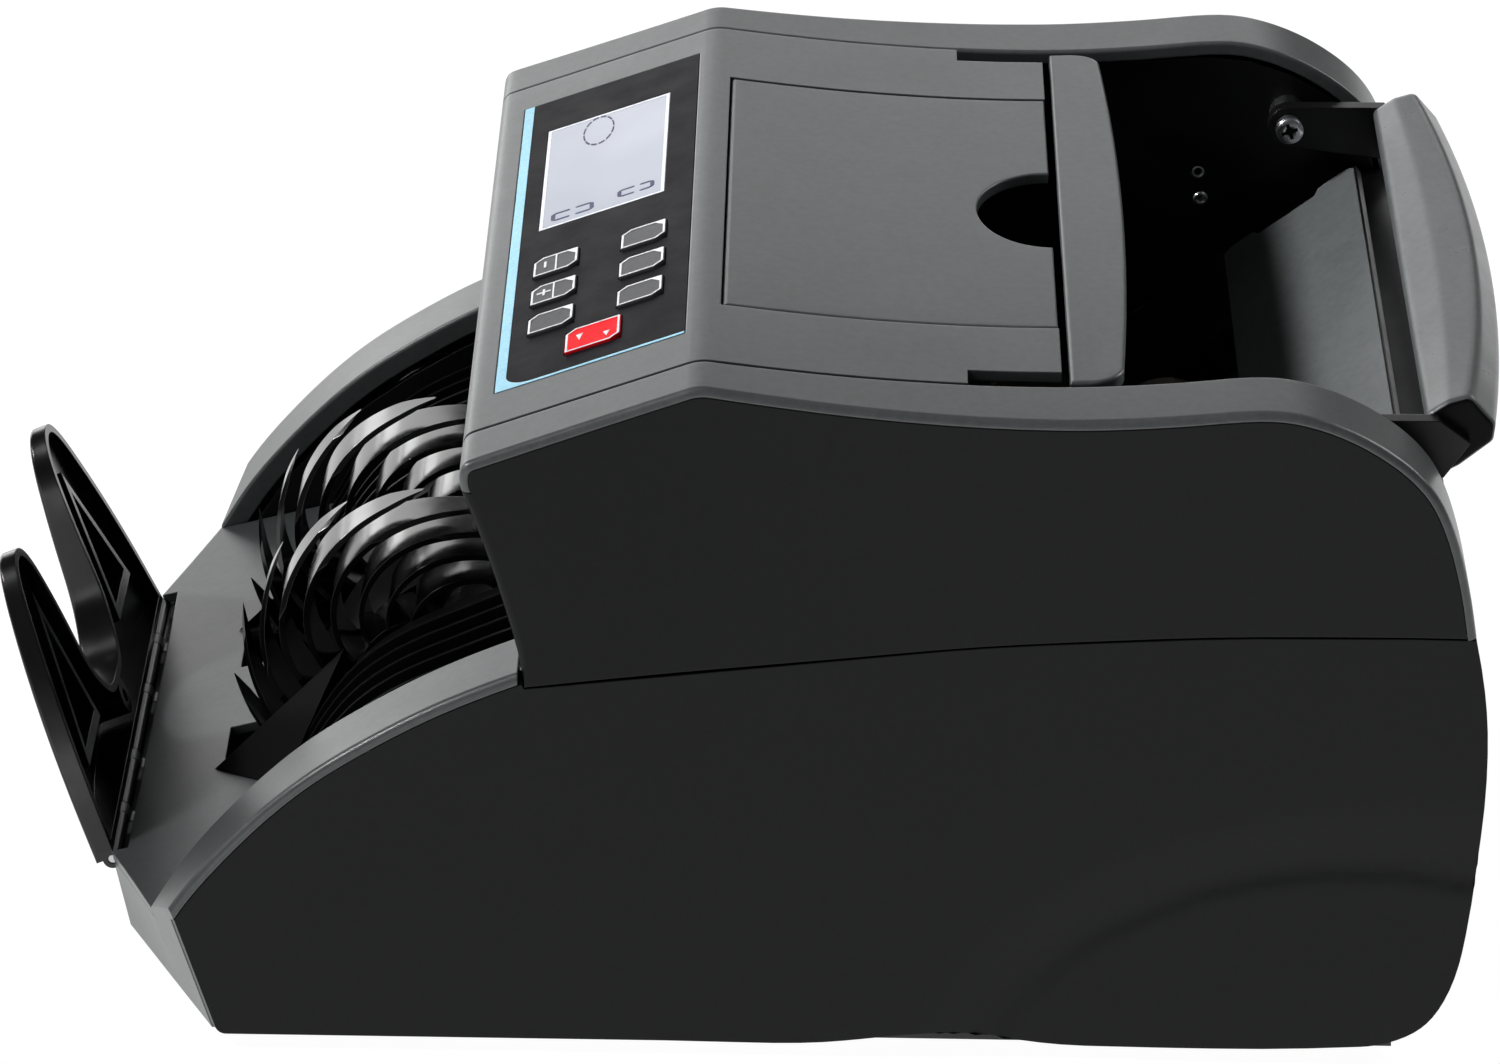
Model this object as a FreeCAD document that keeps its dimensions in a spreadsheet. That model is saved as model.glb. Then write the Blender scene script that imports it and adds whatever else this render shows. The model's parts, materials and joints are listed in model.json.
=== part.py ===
import FreeCAD, Part
import os
import math
from FreeCAD import Vector as V, Placement, Rotation

# Desktop banknote counter: sloping note tray with two bladed stacker wheels at
# the front, keypad and display on a slanted bezel, a lift-up inspection door
# behind it, a note hopper with a ramp at the rear and a swinging rear handle.
# +Z is up, the operator stands on the -Y side and +X is the operator's right.
# Every piece is drawn in a working frame whose Y zero is inside the machine and
# is then moved by frame_shift so that the origin is under the middle of its box.

doc = FreeCAD.newDocument("note_counter")
sheet = doc.addObject("Spreadsheet::Sheet", "Dims")
_row = [1]
D = {}


def dim(alias, value):
    cell = "B%d" % _row[0]
    sheet.set("A%d" % _row[0], "'" + alias)
    sheet.set(cell, "%.7g" % value)
    sheet.setAlias(cell, alias)
    _row[0] += 1
    D[alias] = float("%.7g" % value)
    return D[alias]


# ---------------------------------------------------------------- dimensions
for _a, _v in (
    ("frame_shift", 16.835),
    ("body_half", 128.0),        # half width of the lower body
    ("kink_half", 122.5),        # half width of the upper body at the bezel
    ("rail_in", 106.5),          # inner edge of the side rails
    ("skin_thk", 2.5),           # side panel thickness
    ("rail_thk", 3.2),           # rail wall
    ("lip_thk", 1.9),            # rail lip above the side panels
    ("post_top", 132.0),         # lower end of the rail at the bezel's front corner
    ("cover_half", 105.9),       # half width of the top cover
    ("cover_thk", 2.5),
    ("bezel_angle", 19.93),
    ("kink_y", -26.3),
    ("kink_z", 156.5),
    ("door_half", 72.4),
    ("door_gap", 0.5),
    ("door_pin_y", -21.0),
    ("door_pin_z", 154.8),
    ("door_pin_rad", 0.45),
    ("door_nose_rad", 0.95),     # rounded front edge of the door, about its pin
    ("lip_half", 104.0),
    ("wheel_y", -90.6),
    ("wheel_z", 48.6),
    ("wheel_rad", 43.2),
    ("wheel_in", 19.0),          # inner face of each stacker wheel
    ("wheel_wid", 17.0),
    ("hub_rad", 14.0),
    ("blade_count", 15),
    ("shaft_rad", 4.0),
    ("thin_shaft_rad", 3.0),
    ("run_gap", 0.04),           # running clearance of shafts in bushes
    ("wall_in", 107.3),          # inner face of the chassis walls
    ("wall_thk", 2.0),
    ("feed_y", 42.0), ("feed_z", 66.0), ("feed_rad", 19.0),
    ("pick_y", 82.0), ("pick_z", 80.0), ("pick_rad", 13.0),
    ("pinch_y", 27.0), ("pinch_z", 87.6), ("pinch_rad", 7.0),
    ("retard_y", 50.0), ("retard_z", 94.5), ("retard_rad", 10.0),
    ("motor_y", 100.0), ("motor_z", 46.0), ("motor_rad", 21.0),
    ("smotor_y", -22.0), ("smotor_z", 26.0), ("smotor_rad", 14.0),
    ("stop_y", -158.5), ("stop_z", 18.0), ("stop_lean", 22.3),
    ("stop_pin_rad", 1.0),
    ("tray_tan", 0.2586), ("tray_thk", 2.2),
    ("grip_y", 111.4), ("grip_z", 137.0), ("grip_pin_rad", 2.5),
    ("key_len", 10.4), ("key_wid", 10.6), ("key_hgt", 2.0), ("key_gap", 0.3),
    ("ramp_half", 95.0), ("ramp_thk", 2.2),
    ("foot_rad", 9.0), ("foot_hgt", 3.2),
):
    dim(_a, _v)
doc.recompute()

DY = D["frame_shift"]
SHIFT = Placement(V(0, DY, 0), Rotation())
NODES = []
SUB = [0]


def keep(obj, label):
    """A finished sub-part: label it and move it into the final frame."""
    obj.Label = label
    obj.Placement = SHIFT.multiply(obj.Placement)
    NODES.append(obj)
    return obj


def name(prefix):
    SUB[0] += 1
    return "%s_%03d" % (prefix, SUB[0])


def bind(obj, prop, alias, value=None):
    if value is not None and alias not in D:
        dim(alias, value)
    obj.setExpression(prop, "Dims." + alias)


# ------------------------------------------------------- primitive helpers
def pbox(key, x0, x1, y0, y1, z0, z1):
    o = doc.addObject("Part::Box", key)
    bind(o, "Length", key + "_len", x1 - x0)
    bind(o, "Width", key + "_wid", y1 - y0)
    bind(o, "Height", key + "_hgt", z1 - z0)
    o.Placement = Placement(V(x0, y0, z0), Rotation())
    return o


ROT_X = Rotation(V(0, 1, 0), 90)      # local Z along +X


def pcyl(key, x0, x1, y, z, rad, rad_alias=None):
    """Cylinder along X."""
    o = doc.addObject("Part::Cylinder", key)
    if rad_alias:
        o.setExpression("Radius", rad_alias)
    else:
        bind(o, "Radius", key + "_rad", rad)
    bind(o, "Height", key + "_len", x1 - x0)
    o.Placement = Placement(V(x0, y, z), ROT_X)
    return o


def pcylz(key, x, y, z0, z1, rad):
    """Cylinder along Z."""
    o = doc.addObject("Part::Cylinder", key)
    bind(o, "Radius", key + "_rad", rad)
    bind(o, "Height", key + "_len", z1 - z0)
    o.Placement = Placement(V(x, y, z0), Rotation())
    return o


def pfuse(key, objs):
    o = doc.addObject("Part::MultiFuse", key)
    o.Shapes = objs
    o.Refine = True
    return o


def pcut(key, base, tools):
    tool = tools[0] if len(tools) == 1 else pfuse(key + "_tools", tools)
    o = doc.addObject("Part::Cut", key)
    o.Base = base
    o.Tool = tool
    return o


def pgroup(key, objs):
    """Several separate identical solids kept as one node."""
    o = doc.addObject("Part::Compound", key)
    o.Links = objs
    return o


def mirror(src, label):
    """Left-hand copy of a right-hand piece already in the final frame."""
    o = doc.addObject("Part::Mirroring", label)
    o.Source = src
    o.Base = V(0, 0, 0)
    o.Normal = V(1, 0, 0)
    o.Label = label
    NODES.append(o)
    return o


def shaped(key, shape):
    o = doc.addObject("Part::Feature", key)
    o.Shape = shape
    return o


# ------------------------------------------------------------- body helpers
class Bd:
    def __init__(self, key):
        self.b = doc.addObject("PartDesign::Body", key)
        self.key = key

    def plane(self, role):
        for f in self.b.Origin.OriginFeatures:
            if f.Role == role:
                return f

    def sketch(self, role, geos, off=0.0):
        sk = self.b.newObject("Sketcher::SketchObject", name(self.key + "_sk"))
        sk.AttachmentSupport = [(self.plane(role), "")]
        sk.MapMode = "FlatFace"
        sk.AttachmentOffset = Placement(V(0, 0, off), Rotation())
        for g in geos:
            sk.addGeometry(g, False)
        return sk

    def pad(self, sk, alias, value=None, reverse=False):
        p = self.b.newObject("PartDesign::Pad", name(self.key + "_pad"))
        p.Profile = sk
        bind(p, "Length", alias, value)
        p.Reversed = reverse
        doc.recompute()
        self.b.Tip = p
        return p

    def pocket(self, sk, alias, value=None, reverse=False):
        before = self.b.Shape.Volume
        p = self.b.newObject("PartDesign::Pocket", name(self.key + "_poc"))
        p.Profile = sk
        bind(p, "Length", alias, value)
        p.Reversed = reverse
        doc.recompute()
        self.b.Tip = p
        doc.recompute()
        if not self.b.Shape.Volume < before - 1e-3:
            raise RuntimeError(self.key + ": a pocket cut nothing")
        return p

    def groove(self, sk):
        """Turned cut of a sketch about its own vertical axis."""
        before = self.b.Shape.Volume
        p = self.b.newObject("PartDesign::Groove", name(self.key + "_grv"))
        p.Profile = sk
        p.ReferenceAxis = (sk, ["V_Axis"])
        p.Angle = 360.0
        self.b.Tip = p
        doc.recompute()
        if not self.b.Shape.Volume < before - 1e-3:
            raise RuntimeError(self.key + ": a groove cut nothing")
        return p


def g_poly(pts):
    out = []
    n = len(pts)
    for i in range(n):
        a, b = pts[i], pts[(i + 1) % n]
        out.append(Part.LineSegment(V(a[0], a[1], 0), V(b[0], b[1], 0)))
    return out


def g_rect(x0, x1, y0, y1):
    return g_poly([(x0, y0), (x1, y0), (x1, y1), (x0, y1)])


def g_circle(x, y, r):
    return [Part.Circle(V(x, y, 0), V(0, 0, 1), r)]


# ---------------------------------------------------- side profile curves
def spl(pts, t0=None, t1=None):
    c = Part.BSplineCurve()
    kw = {"Points": [V(0, p[0], p[1]) for p in pts]}
    if t0 is not None and t1 is not None:
        kw["InitialTangent"] = V(0, t0[0], t0[1])
        kw["FinalTangent"] = V(0, t1[0], t1[1])
    c.interpolate(**kw)
    return c


def offset_curve(c, d, n=28):
    """Curve moved sideways by d, to the right of its direction in the YZ plane
    (for a left-to-right top curve that is downwards)."""
    u0, u1 = c.FirstParameter, c.LastParameter
    pts, tans = [], []
    for i in range(n + 1):
        u = u0 + (u1 - u0) * i / n
        p = c.value(u)
        t = c.tangent(u)[0]
        t = V(0, t.y, t.z)
        t.normalize()
        pts.append(V(0, p.y + t.z * d, p.z - t.y * d))
        tans.append(t)
    o = Part.BSplineCurve()
    o.interpolate(Points=pts, InitialTangent=tans[0], FinalTangent=tans[-1])
    return o


def ends(c):
    return c.value(c.FirstParameter), c.value(c.LastParameter)


def chain(curves, closing=()):
    """Closed face in the YZ plane from curves in order plus closing points."""
    edges = []
    last = None
    first = None
    for c in curves:
        a, b = ends(c)
        if first is None:
            first = a
        if last is not None and last.distanceToPoint(a) > 1e-6:
            edges.append(Part.LineSegment(last, a).toShape())
        edges.append(c.toShape())
        last = b
    for q in closing:
        q = V(0, q[0], q[1])
        if last.distanceToPoint(q) > 1e-6:
            edges.append(Part.LineSegment(last, q).toShape())
        last = q
    if last.distanceToPoint(first) > 1e-6:
        edges.append(Part.LineSegment(last, first).toShape())
    return Part.Face(Part.Wire(Part.__sortEdges__(edges)))


def rev(c):
    r = c.copy()
    r.reverse()
    return r


def prism(face, x0, x1):
    f = face.copy()
    f.translate(V(x0, 0, 0))
    return f.extrude(V(x1 - x0, 0, 0))


def poly_face(pts):
    p = [V(0, a, b) for a, b in pts]
    return Part.Face(Part.makePolygon(p + [p[0]]))


ang = math.radians(D["bezel_angle"])
CA, SA = math.cos(ang), math.sin(ang)
KY, KZ = D["kink_y"], D["kink_z"]


def bezel_z(y):
    return KZ + (y - KY) * SA / CA


# front edge of the upper body, rising to the rounded front of the bezel
A_PTS = [(-63.2, 87.9), (-64.7, 95.6), (-66.6, 102.5), (-71.4, 117.6),
         (-75.5, 128.4), (-77.1, 132.6), (-77.4, 135.4), (-76.6, 137.7),
         (-74.0, bezel_z(-74.0))]
cA = spl(A_PTS, (-0.17, 0.98), (CA, SA))
# straight slope of the bezel, rounded ridge, deck, then the fall to the rear
KT = 2.4
dk = math.radians(-7.0)
pK0 = (KY - KT * CA, KZ - KT * SA)
pK1 = (KY + KT * math.cos(dk), KZ + KT * math.sin(dk))
cB = Part.LineSegment(V(0, -74.0, bezel_z(-74.0)), V(0, pK0[0], pK0[1]))
cB = cB.toBSpline()
cK = spl([pK0, (KY + 0.02, KZ - 0.30), pK1], (CA, SA), (math.cos(dk), math.sin(dk)))
T52 = (1.0, 0.012)
cC1 = spl([pK1, (-13.0, 154.95), (4.0, 153.3), (20.0, 152.25), (36.0, 151.65), (52.0, 151.6)],
          (math.cos(dk), math.sin(dk)), T52)
cC2 = spl([(52.0, 151.6), (66.0, 152.2), (80.0, 153.35), (91.0, 154.45), (99.0, 154.45),
           (107.0, 152.8), (114.7, 149.8), (122.0, 145.6), (128.0, 140.8), (132.6, 135.2),
           (135.7, 128.9), (138.2, 121.4), (140.2, 113.2), (142.0, 103.0)],
          T52, (0.16, -0.987))
UP = [cA, cB, cK, cC1, cC2]
# seam between the upper and the lower side panels, front to rear
SEAM = [(-63.2, 87.9), (-25.2, 92.6), (5.0, 95.9), (32.1, 98.9), (59.3, 100.9), (86.5, 102.3),
        (113.7, 102.9), (142.0, 102.9)]
cS = spl(SEAM, (0.99, 0.13), (1.0, -0.02))


def off_all(curves, d):
    return [offset_curve(c, d) for c in curves]


def mitred(curves, d, n=60):
    """Inner offset of an outline whose first curve ends in a tight bend onto a
    straight slope: the inside of the bend becomes a plain corner."""
    first, slope = curves[0], curves[1]
    a, b = ends(offset_curve(slope, d))
    t = (b - a).normalize()
    u0, u1 = first.FirstParameter, first.LastParameter
    pts, tans = [], []
    for i in range(n + 1):
        u = u0 + (u1 - u0) * i / n
        p, q = first.value(u), first.tangent(u)[0]
        q = V(0, q.y, q.z).normalize()
        p = V(0, p.y + q.z * d, p.z - q.y * d)
        below = (p.y - a.y) * t.z - (p.z - a.z) * t.y
        if pts and (below < 3.0 or (p - pts[-1]).dot(q) <= 0.02):
            break
        pts.append(p)
        tans.append(q)
    run = Part.BSplineCurve()
    run.interpolate(Points=pts[::2] + ([pts[-1]] if len(pts) % 2 == 0 else []),
                    InitialTangent=tans[0], FinalTangent=tans[-1])
    e, w = pts[-1], tans[-1]
    k = ((a.y - e.y) * t.z - (a.z - e.z) * t.y) / (w.y * t.z - w.z * t.y)
    c = e + w * k
    return ([run, Part.LineSegment(e, c).toBSpline(), Part.LineSegment(c, b).toBSpline()]
            + [offset_curve(q, d) for q in curves[2:]])


def moved(c, dy, dz):
    r = c.copy()
    r.translate(V(0, dy, dz))
    return r


def mid(e):
    return e.valueAt((e.FirstParameter + e.LastParameter) / 2)


def near(p, curves, tol=0.02):
    """True where a point lies over one of the side profile curves."""
    for c in curves:
        q = c.value(c.parameter(V(0, p.y, p.z)))
        if abs(q.y - p.y) < tol and abs(q.z - p.z) < tol:
            return True
    return False


def soften(shape, rad, pick):
    """Round the edges that pick() chooses."""
    r = shape.makeFillet(rad, [e for e in shape.Edges if pick(e)])
    if not r.isValid() or len(r.Solids) != len(shape.Solids):
        raise RuntimeError("a rounded edge failed")
    return r


# ------------------------------------------------ upper body outer envelope
HALF, KHALF = D["body_half"], D["kink_half"]


def env(inset):
    """Solid inside the drafted outer side of the upper body, less an inset."""
    wires = []
    for y, c, s, t in ((-100, KHALF, 88, 150), (-60, KHALF, 88.3, 150), (-26, KHALF, 92.5, 156.5),
                       (4, 124.4, 95.8, 153.3), (30, 126.0, 98.7, 152.0), (60, 127.1, 101.0, 152.0),
                       (100, 127.5, 102.6, 154.3), (150, 127.6, 102.9, 152.0)):
        k = (c - HALF) / (t - s)
        lo = HALF + k * (75 - s) - inset
        hi = HALF + k * (170 - s) - inset
        q = [V(90, y, 75), V(lo, y, 75), V(hi, y, 170), V(90, y, 170)]
        wires.append(Part.makePolygon(q + [q[0]]))
    return Part.makeLoft(wires, True, False)


E0 = env(0.0)
E_SKIN = env(D["skin_thk"])
E_LIP = env(D["skin_thk"] + 0.3)

inner_up = mitred(UP, D["rail_thk"])
ring = chain(UP + [rev(c) for c in reversed(inner_up)])
ring_lip = chain(UP + [rev(c) for c in reversed(off_all(UP, D["lip_thk"]))])
rail = prism(ring, D["rail_in"], 135).common(E0)
rail = rail.cut(prism(ring, D["rail_in"] - 1, 136).cut(prism(ring_lip, D["rail_in"] - 2, 137)).cut(E_LIP))
rail = soften(rail, 1.6, lambda e: e.Length > 2 and mid(e).x > 121 and near(mid(e), UP))
rail = soften(rail, 0.8, lambda e: e.Length > 2 and abs(mid(e).x - D["rail_in"]) < 0.01 and near(mid(e), UP))
# under the bezel's front corner the same wall goes on down as part of the side
post_top = D["post_top"]
rail = rail.cut(Part.makeBox(60, 45, 60, V(90, -100, post_top - 60.0)))
upper_rail_right = keep(shaped("upper_rail_right_shape", rail), "upper_rail_right")

# side: the whole block under the outline, rounded, then hollowed to a skin that
# stops short of the rail and keeps a full front wall below post_top
corner = Part.makeBox(60, 45, 60, V(90, -100, post_top - 60.2))
fat = prism(chain([offset_curve(cA, -2.0), rev(inner_up[1]), rev(inner_up[0])]), 100, 140).common(corner)
band = chain(off_all(UP, -2.0) + [rev(c) for c in reversed(off_all(UP, D["lip_thk"] + 0.15))])
above_seam = chain([moved(cS, 0, 0.2)], [(160.0, 103.1), (160.0, 175.0), (-95.0, 175.0), (-95.0, 88.1)])
whole = chain(UP, [(ends(UP[-1])[1].y, 80.0), (ends(UP[0])[0].y, 80.0)])
upper_panel = prism(whole, D["rail_in"], 135).common(E0)
upper_panel = soften(upper_panel, 1.6, lambda e: e.Length > 2 and mid(e).x > 121 and near(mid(e), UP))
upper_panel = soften(upper_panel, 0.8, lambda e: e.Length > 2 and abs(mid(e).x - D["rail_in"]) < 0.01 and near(mid(e), UP))
upper_panel = upper_panel.common(prism(above_seam, 99, 136)).cut(E_SKIN.cut(fat)).cut(prism(band, 90, 140).cut(corner))
if len(upper_panel.Solids) != 1:
    raise RuntimeError("the upper side came out in pieces")
upper_side_right = keep(shaped("upper_side_right_shape", upper_panel), "upper_side_right")

# -------------------------------------------------------------- front rails
FR = [(-150.0, 18.4), (-146.5, 24.4), (-140.0, 35.0), (-130.0, 47.5), (-120.0, 57.9),
      (-110.0, 66.4), (-100.0, 73.2), (-90.0, 79.2), (-80.0, 84.4), (-72.0, 88.0), (-64.7, 91.0)]
cF = spl(FR)


def half_space(inset):
    """Everything behind the chamfered front corner face."""
    n = V(209.8, -478.8, -159.6)
    n.normalize()
    p = V(107.0, -140.0, 3.2) - n * inset
    b = Part.makeBox(400, 400, 400, V(-200, -200, -400))
    pl = Placement(V(0, 0, 0), Rotation(V(0, 0, 1), n))
    b.Placement = Placement(p, pl.Rotation)
    return b


under = chain([cF], [(-64.7, 3.2), (-150.0, 3.2)])
inner_c = offset_curve(cF, 5.0)
under_in = chain([inner_c], [(-50.0, ends(inner_c)[1].z), (-50.0, -5.0), (-160.0, -5.0), (-160.0, 14.0)])
lip_c = offset_curve(cF, 2.2)
under_lip = chain([lip_c], [(-50.0, ends(lip_c)[1].z), (-50.0, -5.0), (-160.0, -5.0), (-160.0, 15.0)])
fr = prism(under, 107.0, HALF).common(half_space(0.0))
fr = fr.cut(prism(under_in, 90.0, HALF - 3.2).common(half_space(3.0)))
fr = fr.cut(prism(under_lip, HALF - 3.2, 140.0).common(half_space(0.0)))
fr = fr.removeSplitter()
fr = soften(fr, 1.9, lambda e: e.Length > 2 and mid(e).x > HALF - 0.1 and near(mid(e), [cF]))
fr = soften(fr, 0.8, lambda e: e.Length > 2 and abs(mid(e).x - 107.0) < 0.01 and near(mid(e), [cF]))
front_rail_right = keep(shaped("front_rail_right_shape", fr), "front_rail_right")

# --------------------------------------------------------- lower side panels
lip_c2 = offset_curve(cF, 2.4)
REAR = [(142.0, 102.6), (143.4, 96.0), (144.6, 88.8), (145.4, 81.0), (145.7, 73.0), (145.6, 64.0),
        (145.1, 54.0), (144.3, 43.0), (143.2, 33.0), (141.7, 24.0), (139.0, 16.0), (134.6, 9.6),
        (129.0, 6.2), (121.0, 4.4)]
cR = spl(REAR)
BOT = [(121.0, 4.4), (100.0, 3.5), (70.0, 3.3), (52.0, 3.6), (40.0, 5.0), (28.0, 5.7), (16.0, 5.0),
       (4.0, 3.6), (-20.0, 3.2), (-70.0, 3.2), (-127.0, 3.2)]
cBt = spl(BOT)
a_lip = ends(lip_c2)[1]
low_face = chain([lip_c2, moved(cS, 0, -0.2), cR, cBt], [(-160.0, 3.2), (-160.0, 16.0)])
low = prism(low_face, HALF - D["skin_thk"], HALF).common(half_space(0.12))
low = soften(low, 2.2, lambda e: e.Length < 4 and mid(e).y < -130 and mid(e).z < 3.3)
lower_side_right = keep(shaped("lower_side_right_shape", low), "lower_side_right")

# ------------------------------------------------------------------ top cover
cA2 = spl([(-76.3, 130.4), (-77.1, 132.6), (-77.4, 135.4), (-76.6, 137.7), (-74.0, bezel_z(-74.0))],
          (-0.33, 0.94), (CA, SA))
TC = [cA2, cB, cK, cC1]
shell = prism(chain(TC + [rev(c) for c in reversed(mitred(TC, D["cover_thk"]))]),
              -D["cover_half"], D["cover_half"])
dh = D["door_half"] + D["door_gap"]
shell = shell.cut(Part.makeBox(2 * dh, 90, 60, V(-dh, D["door_pin_y"] - D["door_nose_rad"] - 0.3, 120)))
for sx in (-1, 1):
    # the deck narrows beside the hopper lip, and a lug takes the door's pin
    shell = shell.cut(Part.makeBox(20, 40, 60, V(98.4 if sx > 0 else -118.4, 31.6, 120)))
    lug = Part.makeBox(5.4, 7.0, 4.4, V(73.4 if sx > 0 else -78.8, -24.5, 149.9))
    shell = shell.fuse(lug)
shell = shell.cut(Part.makeCylinder(D["door_pin_rad"] + D["run_gap"], 158,
                                    V(-79, D["door_pin_y"], D["door_pin_z"]), V(1, 0, 0)))
PANEL = Placement(V(0, KY, KZ), Rotation(V(1, 0, 0), D["bezel_angle"]))


def on_panel(x0, x1, v0, v1, w0, w1):
    b = Part.makeBox(x1 - x0, v1 - v0, w1 - w0, V(x0, v0, w0))
    b.Placement = PANEL.multiply(b.Placement)
    return b


shell = shell.cut(on_panel(-91.2, 88.2, -48.0, -3.6, -1.0, 6.0))
shell = shell.cut(on_panel(-86.5, 83.5, -44.0, -7.6, -8.0, 6.0))
top_cover = keep(shaped("top_cover_shape", shell.removeSplitter()), "top_cover")

# ------------------------------------------------- keypad overlay and display
LCD = (-70.5, -5.0, -41.2, -10.7)
KEYS = [("key_count_mode", 20.0, -14.9), ("key_auto", 37.4, -14.9), ("key_add", 54.8, -14.9),
        ("key_minus", 20.0, -35.9), ("key_plus", 37.4, -35.9), ("key_batch", 54.8, -35.9),
        ("key_reset", 72.0, -25.4)]
ov = Bd("overlay_body")
sk = ov.sketch("XY_Plane", g_rect(-91.0, 88.0, -47.8, -3.8), -0.9)
ov.pad(sk, "overlay_thk", 0.9)
holes = g_rect(LCD[0] - 0.1, LCD[1] + 0.1, LCD[2] - 0.1, LCD[3] + 0.1)
for k, kx, kv in KEYS:
    hx = (12.6 if k == "key_reset" else D["key_len"]) / 2 + D["key_gap"]
    hv = (12.8 if k == "key_reset" else D["key_wid"]) / 2 + D["key_gap"]
    holes += g_rect(kx - hx, kx + hx, kv - hv, kv + hv)
sk = ov.sketch("XY_Plane", holes, 0.5)
ov.pocket(sk, "overlay_cut", 3.0)
ov.b.Placement = PANEL
keep(ov.b, "keypad_overlay")

lg = Bd("lens_body")
lg.pad(lg.sketch("XY_Plane", g_rect(*LCD), -0.9), "lens_thk", 0.8)
lg.b.Placement = PANEL
keep(lg.b, "display_window")

for k, kx, kv in KEYS:
    big = k == "key_reset"
    kb = Bd(k + "_body")
    hx = (12.6 if big else D["key_len"]) / 2
    hv = (12.8 if big else D["key_wid"]) / 2
    c = 2.2
    # two opposite corners of each key are cut off
    pts = [(kx - hx, kv - hv + c), (kx - hx + c, kv - hv), (kx + hx, kv - hv), (kx + hx, kv + hv - c),
           (kx + hx - c, kv + hv), (kx - hx, kv + hv)]
    kb.pad(kb.sketch("XY_Plane", g_poly(pts), -1.5), "key_hgt")
    kb.b.Placement = PANEL
    keep(kb.b, k)

kp = Bd("keyboard_body")
kp.pad(kp.sketch("XY_Plane", g_rect(-75.0, 82.5, -43.5, -8.0), -6.0), "keyboard_thk", 1.6)
# display module and one push switch under each key
dots = g_rect(LCD[0] - 1.5, LCD[1] + 1.5, LCD[2] - 1.0, LCD[3] + 1.0)
for k, kx, kv in KEYS:
    dots += g_rect(kx - 3, kx + 3, kv - 3, kv + 3)
kp.pad(kp.sketch("XY_Plane", dots, -4.5), "switch_hgt", 2.0)
kp.b.Placement = PANEL
keep(kp.b, "control_board")

# ------------------------------------------------------------ inspection door
py, pz = D["door_pin_y"], D["door_pin_z"]
dface = chain([cC1] + [rev(offset_curve(cC1, D["cover_thk"]))])
door = prism(dface, -D["door_half"], D["door_half"])
door = door.common(Part.makeBox(300, 51.8 - py, 60, V(-150, py, 120)))
el = Part.Ellipse(V(0, 52.0, 0), 23.5, 17.0).toShape()
notch = Part.Face(Part.Wire(el)).extrude(V(0, 0, 60))
notch.translate(V(0, 0, 120))
door = door.cut(notch).removeSplitter()
door = soften(door, 0.5, lambda e: e.Length > 5 and mid(e).y > 5 and near(mid(e), [cC1], 0.03))
# the front edge is a round nose with the pin in its middle
door = door.fuse(Part.makeCylinder(D["door_nose_rad"], 2 * D["door_half"], V(-D["door_half"], py, pz), V(1, 0, 0)))
door = door.cut(Part.makeCylinder(D["door_pin_rad"] + 0.02, 240, V(-120, py, pz), V(1, 0, 0)))
keep(shaped("inspection_door_shape", door), "inspection_door")
door_pin = pcyl("door_pin", -78.5, 78.5, py, pz, 0.45, "Dims.door_pin_rad")

# ---------------------------------------------------------- hopper front lip
cl = spl([(53.7, 151.6), (60.0, 151.85), (68.5, 152.4)], T52, (1.0, 0.07))
lipf = chain([cl] + [rev(offset_curve(cl, 3.0))])
lip = prism(lipf, -D["lip_half"], D["lip_half"])
LH = D["lip_half"]
b0, b1 = 65.6, 68.2
pe = [Part.LineSegment(V(-LH, 53.0, 100), V(LH, 53.0, 100)).toShape(),
      Part.LineSegment(V(LH, 53.0, 100), V(LH, b0 - 8.0, 100)).toShape(),
      Part.Arc(V(LH, b0 - 8.0, 100), V(LH - 2.0, b0 - 2.4, 100), V(LH - 8.0, b0, 100)).toShape(),
      Part.Arc(V(LH - 8.0, b0, 100), V(0, b1, 100), V(-LH + 8.0, b0, 100)).toShape(),
      Part.Arc(V(-LH + 8.0, b0, 100), V(-LH + 2.0, b0 - 2.4, 100), V(-LH, b0 - 8.0, 100)).toShape(),
      Part.LineSegment(V(-LH, b0 - 8.0, 100), V(-LH, 53.0, 100)).toShape()]
plan = Part.Face(Part.Wire(pe)).extrude(V(0, 0, 100))
lip = soften(lip.common(plan), 0.8, lambda e: e.Length > 1 and near(mid(e), [cl], 0.03))
keep(shaped("hopper_lip_shape", lip), "hopper_lip")

hp = Bd("hopper_plate_body")
hp.pad(hp.sketch("XZ_Plane", g_rect(-103.0, 103.0, 99.0, 148.6), -62.2), "hopper_plate_thk", 2.2)
keep(hp.b, "hopper_front_plate")

# ------------------------------------------------------------------ hopper ramp
rz = 0.754


def ramp_z(y):
    return 128.0 + (y - 127.5) * rz


rn = (rz / math.hypot(1, rz), -1 / math.hypot(1, rz))     # down-normal in (y, z)
th = D["ramp_thk"]
rp = Bd("ramp_body")
pts = [(127.5, ramp_z(127.5)), (72.5, ramp_z(72.5)), (72.5 + rn[0] * th, ramp_z(72.5) + rn[1] * th),
       (127.5 + rn[0] * th, ramp_z(127.5) + rn[1] * th)]
rp.pad(rp.sketch("YZ_Plane", g_poly(pts), -D["ramp_half"]), "ramp_wid", 2 * D["ramp_half"])
# slots for the pick-up rollers and stepped side edges
cuts = []
for sx in (-1, 1):
    cuts += g_rect(*((20.0, 48.0) if sx > 0 else (-48.0, -20.0)), 66.0, 97.0)
    cuts += g_rect(*((91.5, 100.0) if sx > 0 else (-100.0, -91.5)), 104.0, 119.0)
rp.pocket(rp.sketch("XY_Plane", cuts, 140.0), "ramp_cut", 80.0)
keep(rp.b, "hopper_ramp")

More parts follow.
